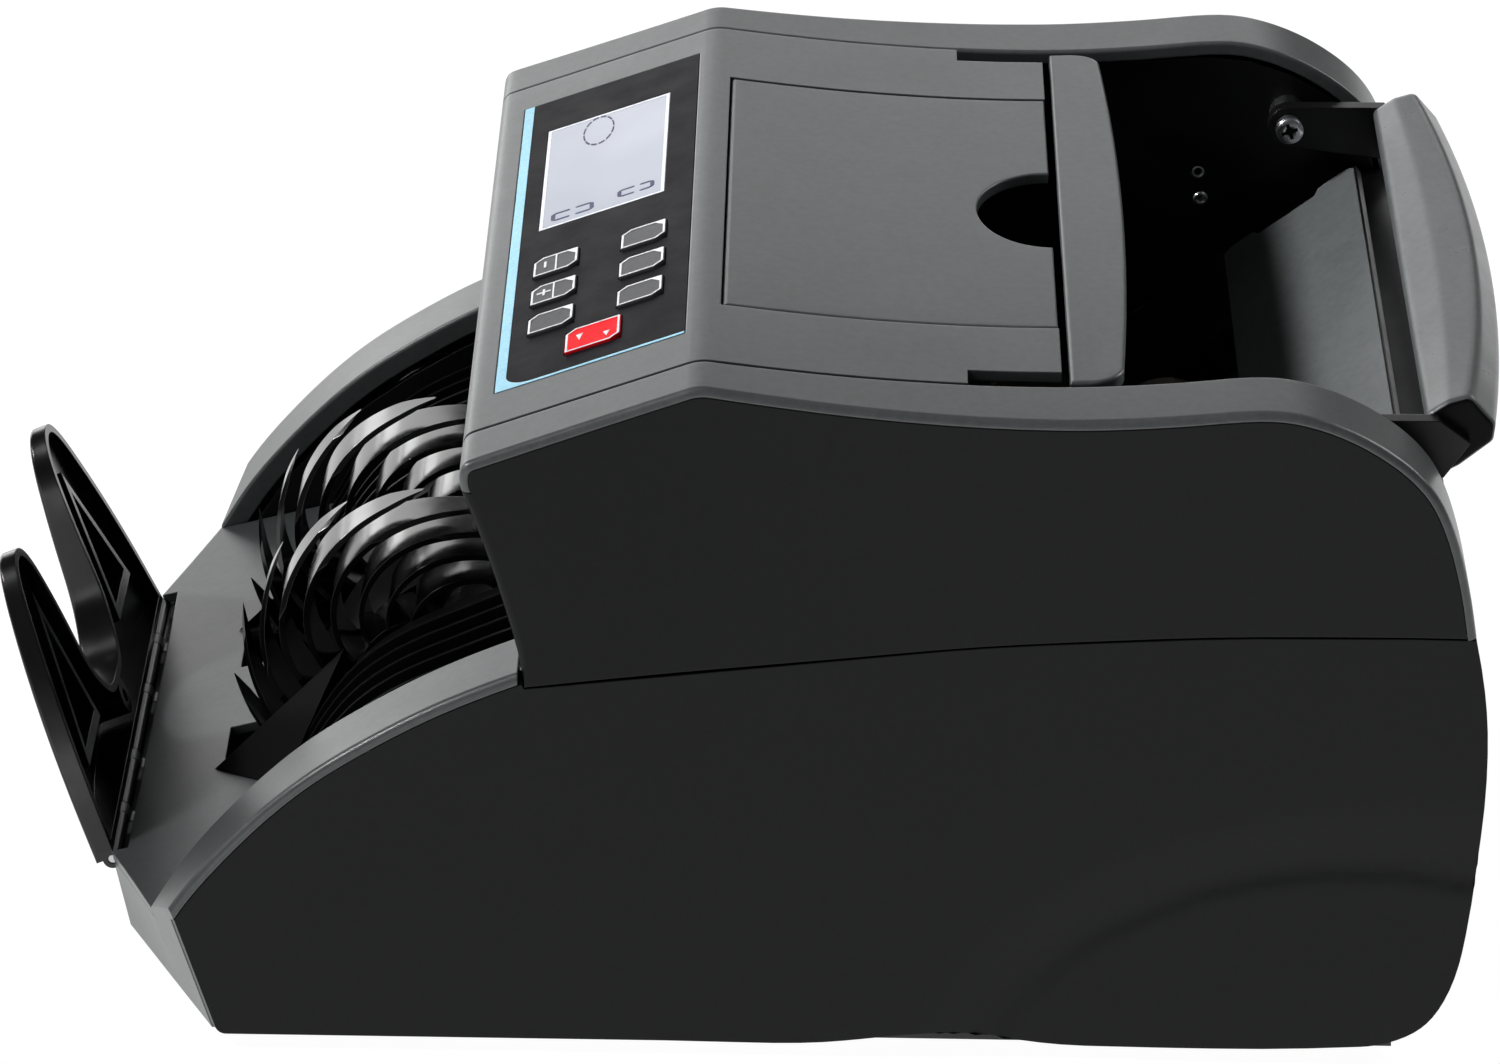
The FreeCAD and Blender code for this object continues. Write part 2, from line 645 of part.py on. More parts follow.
# ------------------------------------------------------------------ rear handle
secs = []
for i in range(9):
    s = -1 + i * 0.25
    b = 1 - s * s
    x = 96.0 * s
    q = [(131.0, 141.5), (136.0 + 3.0 * b, 145.1), (140.7 + 7.0 * b, 146.6), (146.6 + 5.6 * b, 140.0),
         (146.2 + 6.0 * b, 136.0), (139.0 + 6.0 * b, 130.0), (134.8, 127.6)]
    pp = [V(x, a, c) for a, c in q]
    secs.append(Part.makePolygon(pp + [pp[0]]))
bar = Part.makeLoft(secs, True, False)
bar = soften(bar, 2.0, lambda e: e.Length > 15 and abs(mid(e).x) < 95.9)
bar = soften(bar, 1.0, lambda e: abs(abs(mid(e).x) - 96.0) < 0.01)
keep(shaped("handle_bar_shape", bar), "handle_bar")

gy, gz = D["grip_y"], D["grip_z"]


def arm_face(cx, cz, r0, tip):
    """Plate outline: round eye at the pivot running to the bar's end."""
    a = Part.makeCylinder(r0, 1, V(0, cx, cz), V(1, 0, 0))
    p = Part.Face(Part.makePolygon([V(0, cx + 0.6, cz + r0), V(0, tip[0][0], tip[0][1]),
                                    V(0, tip[1][0], tip[1][1]), V(0, tip[2][0], tip[2][1]),
                                    V(0, cx + 0.6, cz - r0), V(0, cx + 0.6, cz + r0)])).extrude(V(1, 0, 0))
    return a.fuse(p).removeSplitter()


arms = []
for sx in (-1, 1):
    a = arm_face(gy, gz, 5.0, ((134.0, 142.2), (141.0, 137.0), (135.5, 129.0)))
    a.scale(1.0)
    m = FreeCAD.Matrix()
    m.A11 = 4.0
    a = a.transformGeometry(m)
    a.translate(V(96.15 if sx > 0 else -100.15, 0, 0))
    a = a.cut(Part.makeCylinder(D["grip_pin_rad"] + D["run_gap"], 300, V(-150, gy, gz), V(1, 0, 0)))
    arms.append(a)
keep(shaped("handle_arms_shape", Part.makeCompound(arms)), "handle_arms")

scr = []
for i, sx in enumerate((-1, 1)):
    k = "grip_screw%d" % i

    def span(a, b):
        return (a, b) if sx > 0 else (-b, -a)
    h = pcyl(k + "_head", *span(93.4, 95.8), gy, gz, 3.3)
    s = pcyl(k + "_shank", *span(95.6, 109.3), gy, gz, 2.5, "Dims.grip_pin_rad")
    c = pcyl(k + "_collar", *span(100.5, 107.3), gy, gz, 4.2)
    drive = [pbox(k + "_ca", *span(93.0, 94.3), gy - 1.9, gy + 1.9, gz - 0.45, gz + 0.45),
             pbox(k + "_cb", *span(93.0, 94.3), gy - 0.45, gy + 0.45, gz - 1.9, gz + 1.9)]
    scr.append(pcut(k, pfuse(k + "_body", [h, s, c]), drive))
keep(pgroup("grip_screws_group", scr), "handle_pivot_screws")

# ---------------------------------------------------------------- chassis walls
WALL = [(-134.0, 5.05), (-139.6, 21.0), (-136.6, 27.6), (-130.0, 37.6), (-120.0, 48.4), (-110.0, 57.2),
        (-100.0, 64.4), (-90.0, 70.6), (-80.0, 76.0), (-72.0, 79.8), (-59.5, 86.5), (-62.0, 100.0), (-67.2, 117.0),
        (-72.0, 129.5), (-72.3, 134.8), (-25.8, 151.7), (0.0, 149.2), (30.0, 147.8), (60.0, 148.0),
        (92.0, 150.4), (102.0, 149.6), (112.0, 146.3), (121.0, 141.0), (127.0, 135.6), (131.2, 128.4),
        (134.0, 119.0), (136.2, 104.0), (138.4, 92.0), (139.2, 60.0), (136.6, 30.0), (129.0, 12.0),
        (123.0, 5.05)]
BUSH = 6.0
SHAFTS = [("wheel", D["wheel_y"], D["wheel_z"]), ("feed", D["feed_y"], D["feed_z"]),
          ("pick", D["pick_y"], D["pick_z"]), ("pinch", D["pinch_y"], D["pinch_z"])]


def wall(key, left):
    w = Bd(key)
    off = -D["wall_in"] - D["wall_thk"] if left else D["wall_in"]
    w.pad(w.sketch("YZ_Plane", g_poly(WALL), off), "wall_thk")
    hs = []
    for _, sy, sz in SHAFTS:
        hs += g_circle(sy, sz, BUSH)
    hs += g_circle(gy, gz, D["grip_pin_rad"])
    hs += g_circle(D["retard_y"], D["retard_z"], D["thin_shaft_rad"])
    hs += g_circle(90.2, 121.0, 1.4)
    if left:
        hs += g_circle(D["motor_y"], D["motor_z"], 6.2)
        hs += g_circle(D["smotor_y"], D["smotor_z"], 4.2)
    w.pocket(w.sketch("YZ_Plane", hs, off + D["wall_thk"] + 1.0), "wall_hole_len", D["wall_thk"] + 3.0)
    return w.b


keep(wall("wall_right_body", False), "chassis_wall_right")
keep(wall("wall_left_body", True), "chassis_wall_left")

bush = []
for nm, sy, sz in SHAFTS:
    r = D["shaft_rad"] if nm in ("wheel", "feed") else D["thin_shaft_rad"]
    for sx in (-1, 1):
        k = "bush_%s%d" % (nm, 0 if sx < 0 else 1)
        x0, x1 = (105.6, 110.6) if sx > 0 else (-110.6, -105.6)
        f0, f1 = (105.6, 107.2) if sx > 0 else (-107.2, -105.6)
        o = pfuse(k + "_out", [pcyl(k + "_tube", x0, x1, sy, sz, BUSH), pcyl(k + "_rim", f0, f1, sy, sz, BUSH + 1.5)])
        bush.append(pcut(k, o, [pcyl(k + "_hole", x0 - 1, x1 + 1, sy, sz, r + D["run_gap"])]))
keep(pgroup("bush_group", bush), "shaft_bushes")

# --------------------------------------------------------------- front skirt
cA3 = spl([(-64.4, 95.6), (-66.0, 102.5), (-70.6, 117.6), (-74.4, 128.4), (-75.3, 130.0)])
sk_face = chain([offset_curve(cA3, 0.6)] + [rev(offset_curve(cA3, 2.8))])
keep(shaped("front_skirt_shape", prism(sk_face, -105.7, 105.7)), "front_skirt")

# ------------------------------------------------------------------ note tray
tt = D["tray_tan"]


def tray_z(y):
    return 26.6 + tt * (y + 135.0)


ty0, ty1 = -164.0, -117.6
tl = D["tray_thk"] * math.sqrt(1 + tt * tt)
tray = prism(poly_face([(ty0, tray_z(ty0)), (ty1, tray_z(ty1)), (ty1, tray_z(ty1) - tl), (ty0, tray_z(ty0) - tl)]),
             -106.8, 106.8)
# the front corners follow the chamfered nose, and the middle stops at the hinge
NOSE_B = [(-107.0, -140.0), (-74.0, -154.4), (74.0, -154.4), (107.0, -140.0)]
NOSE_T = [(-107.0, -147.6), (-70.3, -160.2), (70.3, -160.2), (107.0, -147.6)]


def nose_block(dy, z0=3.2, z1=26.0):
    def ring_at(z, f):
        p = []
        for (xb, yb), (xt, yt) in zip(NOSE_B, NOSE_T):
            p.append(V(xb + (xt - xb) * f, yb + (yt - yb) * f + dy, z))
        p += [V(107.0, -100.0, z), V(-107.0, -100.0, z)]
        return Part.makePolygon(p + [p[0]])
    f0 = (z0 - 3.2) / 22.8
    f1 = (z1 - 3.2) / 22.8
    return Part.makeLoft([ring_at(z0, f0), ring_at(z1, f1)], True, True)


tray = tray.common(nose_block(0.0, 3.2, 60.0).fuse(Part.makeBox(214, 80, 60, V(-107, -139.0, 0))))
tray = tray.cut(Part.makeBox(144.0, 20.0, 40.0, V(-72.0, -174.8, 0.0)))
for sx in (-1, 1):
    tray = tray.cut(Part.makeBox(21.0, 60.0, 60.0, V(17.0 if sx > 0 else -38.0, -135.4, 0.0)))
keep(shaped("stacker_tray_shape", tray.removeSplitter()), "stacker_tray")

# black wedges that lead the notes off the tray beside each wheel
wedges = []
for sx in (-1, 1):
    a = V(39.2 * sx, -137.6, tray_z(-137.6) + 0.15)
    b = V(39.2 * sx, -107.6, 57.0)
    c = V(39.2 * sx, -107.6, tray_z(-107.6) + 0.15)
    d = V(57.0 * sx, -121.0, tray_z(-121.0) + 0.15)
    f = [Part.Face(Part.makePolygon([p, q, r, p])) for p, q, r in ((a, b, c), (a, c, d), (a, d, b), (b, d, c))]
    s = Part.Solid(Part.Shell(f))
    if s.Volume < 0:
        s.reverse()
    wedges.append(s)

# ---------------------------------------------------------------- exit guide
EG = [(-116.6, 33.4), (-113.4, 39.0), (-108.6, 47.6), (-101.5, 56.5), (-92.0, 63.5), (-80.0, 69.2),
      (-66.0, 75.2), (-55.0, 78.6), (-50.0, 79.6), (-43.0, 80.2)]
cE = spl(EG)
eg = prism(chain([cE] + [rev(offset_curve(cE, 2.0))]), -105.2, 105.2)
rib_f = chain([offset_curve(cE, -2.6)] + [rev(offset_curve(cE, 1.0))])
for i in range(8):
    x = 48.5 + 7.5 * i
    eg = eg.fuse(prism(rib_f, x, x + 1.2))
    eg = eg.fuse(prism(rib_f, -x - 1.2, -x))
for sx in (-1, 1):
    eg = eg.cut(Part.makeBox(21.0, 90.0, 90.0, V(17.0 if sx > 0 else -38.0, -142.0, 20.0)))
eg = eg.cut(Part.makeCylinder(9.5, 240, V(-120, D["wheel_y"], D["wheel_z"]), V(1, 0, 0)))
for s in wedges:
    eg = eg.fuse(s)
eg = eg.removeSplitter()
keep(shaped("exit_guide_shape", eg), "exit_guide")

# ----------------------------------------------------------------------- nose
nose = nose_block(0.0, 3.2, 26.0).cut(nose_block(2.7, 3.0, 26.5))
slab = poly_face([(-175.0, tray_z(-175.0) - tl - 0.1), (-100.0, tray_z(-100.0) - tl - 0.1), (-100.0, 80.0), (-175.0, 80.0)])
nose = nose.cut(prism(slab, -120, 120))
nose = nose.cut(Part.makeBox(300, 300, 60, V(-150, -139.6, 0)))
nose = nose.cut(Part.makeBox(143.0, 60.0, 30.0, V(-71.5, -190.0, 14.4)))
sy0, sz0 = D["stop_y"], D["stop_z"]
# four knuckles along the front edge carry the pin of the note stop
KNUCKLE = (-50.0, -21.0, 16.0, 45.0)
for x0 in KNUCKLE:
    lug = Part.makeCylinder(2.2, 5.0, V(x0, sy0, sz0), V(1, 0, 0))
    lug = lug.fuse(Part.makeBox(5.0, 6.4, 5.8, V(x0, sy0, sz0 - 6.0)))
    lug = lug.fuse(Part.makeBox(5.0, 3.0, 4.0, V(x0, sy0 - 0.6, 10.0)))
    nose = nose.fuse(lug)
nose = nose.cut(Part.makeCylinder(D["stop_pin_rad"] + D["run_gap"], 240, V(-120, sy0, sz0), V(1, 0, 0)))
keep(shaped("front_nose_shape", nose.removeSplitter()), "front_nose")

# ------------------------------------------------------------------ note stop
lean = D["stop_lean"]
STOP = Placement(V(0, sy0, sz0 + 2.5), Rotation(V(1, 0, 0), 90 + lean))


def flat_spl(pts, t0=None, t1=None):
    c = Part.BSplineCurve()
    kw = {"Points": [V(a, b, 0) for a, b in pts]}
    if t0:
        kw["InitialTangent"] = V(t0[0], t0[1], 0)
        kw["FinalTangent"] = V(t1[0], t1[1], 0)
    c.interpolate(**kw)
    return c


W_R = [(71.0, 0.0), (67.5, 13.0), (63.4, 25.0), (57.6, 38.5), (51.6, 50.0), (46.2, 58.0), (40.4, 62.3), (34.4, 62.6),
       (28.6, 59.0), (24.2, 50.0), (21.2, 36.0), (18.6, 24.0), (11.5, 15.4), (0.0, 13.0)]


def w_face(shrink=0.0, base=-2.0):
    def shr(pts):
        out = []
        n = len(pts)
        for i, (x, y) in enumerate(pts):
            a = pts[max(i - 1, 0)]
            b = pts[min(i + 1, n - 1)]
            tx, ty_ = b[0] - a[0], b[1] - a[1]
            L = math.hypot(tx, ty_)
            out.append((x - ty_ / L * shrink, y + tx / L * shrink))
        return out
    r = shr(W_R)
    r[-1] = (0.0, W_R[-1][1] - shrink)
    cr = flat_spl(r, (-0.25, 0.97), (-1, 0)).toShape()
    b = base
    x0 = r[0][0]
    es = [cr, cr.mirror(V(0, 0, 0), V(1, 0, 0)),
          Part.LineSegment(V(-x0, r[0][1], 0), V(-x0, b, 0)).toShape(),
          Part.LineSegment(V(-x0, b, 0), V(x0, b, 0)).toShape(),
          Part.LineSegment(V(x0, b, 0), V(x0, r[0][1], 0)).toShape()]
    return Part.Face(Part.Wire(Part.__sortEdges__(es)))


def skin_depth(x, h):
    u = min(1.0, abs(x) / 78.0)
    return 3.2 + 8.6 * (1 - u * u) * max(0.0, 1 - (h + 6) / 78.0)


def under_skin(less):
    xs = [-84, -63, -42, -21, 0, 21, 42, 63, 84]
    hs = [-12, 5, 22, 39, 56, 72]
    grid = [[V(x, h, skin_depth(x, h) - less) for h in hs] for x in xs]
    s = Part.BSplineSurface()
    s.interpolate(grid)
    return s.toShape().extrude(V(0, 0, -40))


wz = w_face(0.0)
body = wz.extrude(V(0, 0, 24)).common(under_skin(0.0))
body = soften(body, 0.8, lambda e: e.Length > 100 and mid(e).z > 2 and mid(e).y > 20)
inner = w_face(2.0, -1.5)
inner.translate(V(0, 0, -1))
pocket = inner.extrude(V(0, 0, 24)).common(under_skin(2.2)).common(Part.makeBox(200, 100, 60, V(-100, 1.4, -20)))
stop = body.cut(pocket)
for sx in (-1, 1):
    tri = [(35.6 * sx, 51.5), (55.0 * sx, 14.5), (27.0 * sx, 14.5)]
    cx = sum(t[0] for t in tri) / 3
    cy = sum(t[1] for t in tri) / 3
    t_in = [(cx + (x - cx) * 0.76, cy + (y - cy) * 0.76) for x, y in tri]
    fo = Part.Face(Part.makePolygon([V(x, y, 0.8) for x, y in tri + tri[:1]])).extrude(V(0, 0, 20))
    fi = Part.Face(Part.makePolygon([V(x, y, 0.0) for x, y in t_in + t_in[:1]])).extrude(V(0, 0, 30))
    stop = stop.fuse(fo.cut(fi).common(under_skin(1.0)))
boss = Part.makeCylinder(4.2, 20, V(0, 6.6, 0.4)).common(under_skin(1.0))
stop = stop.fuse(boss).cut(Part.makeCylinder(1.7, 30, V(0, 6.6, -2)).common(under_skin(3.0)))
lb = (-2.5 * math.cos(math.radians(lean)), 2.5 * math.sin(math.radians(lean)))
stop = stop.fuse(Part.makeCylinder(2.2, 142.0, V(-71.0, lb[0], lb[1]), V(1, 0, 0)))
for x0 in KNUCKLE:
    stop = stop.cut(Part.makeCylinder(2.6, 5.6, V(x0 - 0.3, lb[0], lb[1]), V(1, 0, 0)))
stop = stop.cut(Part.makeCylinder(D["stop_pin_rad"] + 0.02, 240, V(-120, lb[0], lb[1]), V(1, 0, 0)))
stop = stop.removeSplitter()
so = shaped("note_stop_shape", stop)
so.Placement = STOP
keep(so, "note_stop")
stop_pin = pcyl("stop_pin", -70.8, 70.8, sy0, sz0, 1.0, "Dims.stop_pin_rad")
keep(pgroup("hinge_pins_group", [door_pin, stop_pin]), "hinge_pins")

# --------------------------------------------------------------- stacker shaft
wy, wzz = D["wheel_y"], D["wheel_z"]


# --------------------------------------------------------------- pulleys, belts
def pulley(key, x0, x1, y, z, rad, flange=1.6):
    a = pcyl(key + "_core", x0, x1, y, z, rad)
    f1 = pcyl(key + "_fa", x0, x0 + 0.9, y, z, rad + flange)
    f2 = pcyl(key + "_fb", x1 - 0.9, x1, y, z, rad + flange)
    return pfuse(key, [a, f1, f2])


def hull_face(c1, r1, c2, r2):
    """Face of the outline of two circles and their outer tangents, in YZ."""
    dx, dz = c2[0] - c1[0], c2[1] - c1[1]
    L = math.hypot(dx, dz)
    base = math.atan2(dz, dx)
    k = math.acos((r1 - r2) / L)

    def pt(c, r, a):
        return V(0, c[0] + r * math.cos(a), c[1] + r * math.sin(a))
    a1, a2 = base + k, base - k
    p1, p2 = pt(c1, r1, a1), pt(c2, r2, a1)
    q1, q2 = pt(c1, r1, a2), pt(c2, r2, a2)
    es = [Part.LineSegment(p1, p2).toShape(),
          Part.Arc(p2, pt(c2, r2, base), q2).toShape(),
          Part.LineSegment(q2, q1).toShape(),
          Part.Arc(q1, pt(c1, r1, base + math.pi), p1).toShape()]
    return Part.Face(Part.Wire(es))


def belt(x0, x1, c1, r1, c2, r2, gap=0.35, thk=1.3):
    o = hull_face(c1, r1 + gap + thk, c2, r2 + gap + thk)
    i = hull_face(c1, r1 + gap, c2, r2 + gap)
    return prism(o.cut(i), x0, x1)


SP, FP, MP, SMP, PP, FQ = 16.0, 18.0, 7.0, 6.0, 9.0, 9.0
# each shaft carries its own pulleys
keep(pfuse("stacker_shaft_solid", [pcyl("stacker_rod", -120.0, 112.0, wy, wzz, 4.0, "Dims.shaft_rad"),
                                   pulley("stacker_pulley", -119.4, -112.4, wy, wzz, SP)]), "stacker_shaft")
fy, fz = D["feed_y"], D["feed_z"]
keep(pfuse("feed_shaft_solid", [pcyl("feed_rod", -120.0, 120.0, fy, fz, 4.0, "Dims.shaft_rad"),
                                pulley("feed_pulley_left", -119.4, -112.4, fy, fz, FP),
                                pulley("feed_pulley_right", 112.4, 119.4, fy, fz, FQ)]), "feed_shaft")
rolls = []
for i, (a, b) in enumerate(((-62, -50), (-46, -22), (-12, 12), (22, 46), (50, 62))):
    k = "feed_roll%d" % i
    rolls.append(pcut(k, pcyl(k + "_out", a, b, fy, fz, 19.0, "Dims.feed_rad"),
                      [pcyl(k + "_in", a - 1, b + 1, fy, fz, D["shaft_rad"] + 0.02)]))
keep(pgroup("feed_rolls_group", rolls), "feed_rollers")
ky, kz = D["pick_y"], D["pick_z"]
keep(pfuse("pick_shaft_solid", [pcyl("pick_rod", -112.0, 120.0, ky, kz, 3.0, "Dims.thin_shaft_rad"),
                                pulley("pick_pulley", 112.4, 119.4, ky, kz, PP)]), "pickup_shaft")
rolls = []
for i, (a, b) in enumerate(((-44, -24), (24, 44))):
    k = "pick_roll%d" % i
    rolls.append(pcut(k, pcyl(k + "_out", a, b, ky, kz, 13.0, "Dims.pick_rad"),
                      [pcyl(k + "_in", a - 1, b + 1, ky, kz, D["thin_shaft_rad"] + 0.02)]))
keep(pgroup("pick_rolls_group", rolls), "pickup_rollers")
keep(shaped("pickup_belt_shape", belt(113.7, 118.1, (fy, fz), FQ, (ky, kz), PP)), "pickup_belt")

# pinch rollers over the feed rollers and still retard rollers behind them,
# each turned in one piece with its shaft
iy, iz = D["pinch_y"], D["pinch_z"]
keep(pfuse("pinch_solid", [pcyl("pinch_rod", -111.0, 111.0, iy, iz, 3.0, "Dims.thin_shaft_rad"),
                           pcyl("pinch_roll_a", -42.0, -26.0, iy, iz, 7.0, "Dims.pinch_rad"),
                           pcyl("pinch_roll_b", 26.0, 42.0, iy, iz, 7.0, "Dims.pinch_rad")]), "pinch_roller")
ry, rzz = D["retard_y"], D["retard_z"]
keep(pfuse("retard_solid", [pcyl("retard_rod", -109.2, 109.2, ry, rzz, 3.0, "Dims.thin_shaft_rad"),
                            pcyl("retard_roll_a", -44.0, -24.0, ry, rzz, 10.0, "Dims.retard_rad"),
                            pcyl("retard_roll_b", 24.0, 44.0, ry, rzz, 10.0, "Dims.retard_rad")]), "retard_roller")

# ---------------------------------------------------------------------- motors
my, mz = D["motor_y"], D["motor_z"]
mb = pfuse("motor_solid", [pcyl("motor_can", -105.0, -52.0, my, mz, 21.0, "Dims.motor_rad"),
                           pcyl("motor_nose", -109.3, -104.0, my, mz, 6.0),
                           pcyl("motor_tail", -52.5, -48.0, my, mz, 9.0)])
keep(pcut("motor_cut", mb, [pcyl("motor_bore", -112.0, -60.0, my, mz, 2.54)]), "main_motor")
mp = pfuse("motor_pulley_solid", [pulley("motor_pulley_core", -119.4, -112.4, my, mz, MP),
                                  pcyl("motor_pulley_rod", -113.0, -62.0, my, mz, 2.5)])
keep(mp, "motor_pulley")
keep(shaped("drive_belt_shape", belt(-118.1, -113.7, (fy, fz), FP, (my, mz), MP)), "drive_belt")

ny, nz = D["smotor_y"], D["smotor_z"]
nb = pfuse("smotor_solid", [pcyl("smotor_can", -105.0, -66.0, ny, nz, 14.0, "Dims.smotor_rad"),
                            pcyl("smotor_nose", -109.3, -104.0, ny, nz, 4.0),
                            pcyl("smotor_tail", -66.5, -63.0, ny, nz, 5.0)])
keep(pcut("smotor_cut", nb, [pcyl("smotor_bore", -112.0, -74.0, ny, nz, 1.54)]), "stacker_motor")
np_ = pfuse("smotor_pulley_solid", [pulley("smotor_pulley_core", -119.4, -112.4, ny, nz, SMP),
                                    pcyl("smotor_pulley_rod", -113.0, -76.0, ny, nz, 1.5)])
keep(np_, "stacker_motor_pulley")
keep(shaped("stacker_belt_shape", belt(-118.1, -113.7, (wy, wzz), SP, (ny, nz), SMP)), "stacker_belt")

# ---------------------------------------------------- transport plate, sensors
tp = Bd("transport_body")
tp.pad(tp.sketch("YZ_Plane", g_poly([(-42.4, 78.2), (14.0, 79.6), (18.6, 75.0), (20.4, 76.2), (15.0, 81.6), (-42.4, 80.2)]),
                 -104.0), "transport_wid", 208.0)
keep(tp.b, "transport_plate")
sb = pfuse("sensor_solid", [pbox("sensor_beam", -98.0, 98.0, -12.0, -2.0, 86.0, 92.0),
                            pcylz("sensor_lens_a", -40.0, -7.0, 83.6, 87.0, 2.2),
                            pcylz("sensor_lens_b", 40.0, -7.0, 83.6, 87.0, 2.2),
                            pcylz("sensor_lens_c", 0.0, -7.0, 83.6, 87.0, 2.2),
                            pbox("sensor_ear_a", -107.2, -97.0, -10.0, -4.0, 87.0, 91.0),
                            pbox("sensor_ear_b", 97.0, 107.2, -10.0, -4.0, 87.0, 91.0)])
keep(sb, "sensor_bar")

# --------------------------------------------------------- boards, power supply
bd = pfuse("main_board_solid", [pbox("pcb", -38.0, 96.0, -38.0, 52.0, 11.0, 12.6),
                                pbox("pcb_chip", 10.0, 34.0, -10.0, 14.0, 12.4, 14.4),
                                pbox("pcb_conn_a", 50.0, 88.0, 40.0, 48.0, 12.4, 21.0),
                                pbox("pcb_conn_b", -30.0, -2.0, 40.0, 47.0, 12.4, 20.0),
                                pcylz("pcb_cap_a", 60.0, 20.0, 12.4, 30.0, 6.0),
                                pcylz("pcb_cap_b", 78.0, 20.0, 12.4, 30.0, 6.0),
                                pbox("pcb_leg_a", -34.0, -28.0, -34.0, -28.0, 5.1, 11.2),
                                pbox("pcb_leg_b", 86.0, 92.0, -34.0, -28.0, 5.1, 11.2),
                                pbox("pcb_leg_c", -34.0, -28.0, 28.0, 34.0, 5.1, 11.2),
                                pbox("pcb_leg_d", 86.0, 92.0, 28.0, 34.0, 5.1, 11.2)])
keep(bd, "main_board")
ps = pfuse("psu_solid", [pbox("psu_base", -20.0, 96.0, 62.0, 124.0, 5.1, 9.0),
                         pbox("psu_core", 6.0, 58.0, 72.0, 112.0, 8.9, 46.0),
                         pbox("psu_coil", 0.0, 64.0, 78.0, 106.0, 14.0, 40.0)])
keep(ps, "power_supply")

# ------------------------------------------------------------------- base pan
bp = Bd("base_body")
PLAN = [(-124.8, -126.0), (-106.0, -135.0), (-72.0, -150.5), (72.0, -150.5), (106.0, -135.0), (124.8, -126.0),
        (124.8, 128.0), (-124.8, 128.0)]
bp.pad(bp.sketch("XY_Plane", g_poly(PLAN), 3.2), "base_thk", 1.8)
fl = g_rect(123.0, 124.8, -110.0, 122.0) + g_rect(-124.8, -123.0, -110.0, 122.0)
bp.pad(bp.sketch("XY_Plane", fl, 4.8), "base_flange", 12.0)
vents = []
for i in range(10):
    vents += g_rect(-30.0 + 9.0 * i, -26.0 + 9.0 * i, -28.0, 22.0)
bp.pocket(bp.sketch("XY_Plane", vents, 8.0), "base_vent", 8.0)
keep(bp.b, "base_pan")
feet = []
for i, (x, y) in enumerate(((-104, -112), (104, -112), (-104, 112), (104, 112))):
    feet.append(pcut("foot%d" % i, pcylz("foot_pad%d" % i, x, y, 0.0, D["foot_hgt"], 9.0),
                     [pcylz("foot_hole%d" % i, x, y, -1.0, 1.6, 3.6)]))
keep(pgroup("feet_group", feet), "rubber_feet")

# ------------------------------------------------------------------ rear panel
RP = [(135.9, 122.6), (137.5, 114.0), (139.4, 103.4), (141.0, 93.0), (142.2, 80.0), (142.3, 66.0), (141.4, 46.0),
      (139.8, 30.0), (136.4, 16.0), (131.0, 7.6)]
cP = spl(RP)
pr = prism(chain([cP] + [rev(offset_curve(cP, 2.5))]), -125.2, 125.2)
pr = pr.cut(Part.makeBox(60, 60, 60, V(106.2, 110, 102.1))).cut(Part.makeBox(60, 60, 60, V(-166.2, 110, 102.1)))
# top flange that closes the back under the handle, and a foot flange
pr = pr.fuse(Part.makeBox(212.0, 8.0, 2.0, V(-106.0, 128.6, 120.8)))
pr = pr.fuse(Part.makeBox(240.0, 4.0, 2.6, V(-120.0, 128.1, 5.1)))
INL = (-82.0, 34.0)
SWI = (-40.0, 34.0)
pr = pr.cut(Part.makeBox(28.4, 40, 20.4, V(INL[0] - 14.2, 120, INL[1] - 10.2)))
pr = pr.cut(Part.makeBox(20.2, 40, 13.4, V(SWI[0] - 10.1, 120, SWI[1] - 6.7)))
for i in range(9):
    pr = pr.cut(Part.makeBox(3.0, 40, 26.0, V(20.0 + 8.0 * i, 126, 56.0)))
keep(shaped("rear_panel_shape", pr.removeSplitter()), "rear_panel")

# power entry: socket with three blades beside the well of the rocker switch
rim = Part.makeBox(SWI[0] - INL[0] + 29.0, 13.8, 26.0, V(INL[0] - 17.0, 130.0, INL[1] - 13.0))
behind = chain([offset_curve(cP, -0.08)], [(100.0, 7.6), (100.0, 122.6)])
rim = shaped("entry_rim", rim.cut(prism(behind, -126.0, 0.0)))
pe_o = pfuse("entry_solid", [rim,
                             pbox("entry_box", INL[0] - 14, INL[0] + 14, 124.0, 142.5, INL[1] - 10, INL[1] + 10),
                             pbox("entry_swbox", SWI[0] - 10, SWI[0] + 10, 124.0, 142.5, SWI[1] - 6.6, SWI[1] + 6.6)])
il = pcut("entry_cut", pe_o,
          [pbox("entry_well", INL[0] - 12.3, INL[0] + 12.3, 127.0, 146.0, INL[1] - 8.2, INL[1] + 8.2),
           pbox("entry_swwell", SWI[0] - 8.6, SWI[0] + 8.6, 132.0, 146.0, SWI[1] - 5.2, SWI[1] + 5.2),
           pcylz("entry_trunnion", SWI[0], 141.2, SWI[1] - 6.3, SWI[1] + 6.3, 1.25)])
pins = [pbox("entry_pin%d" % i, INL[0] + dx - 1, INL[0] + dx + 1, 126.5, 136.8, INL[1] + dz - 2.2, INL[1] + dz + 2.2)
        for i, (dx, dz) in enumerate(((-7, -2.0), (7, -2.0), (0, 2.6)))]
keep(pfuse("entry_all", [il] + pins), "power_entry")
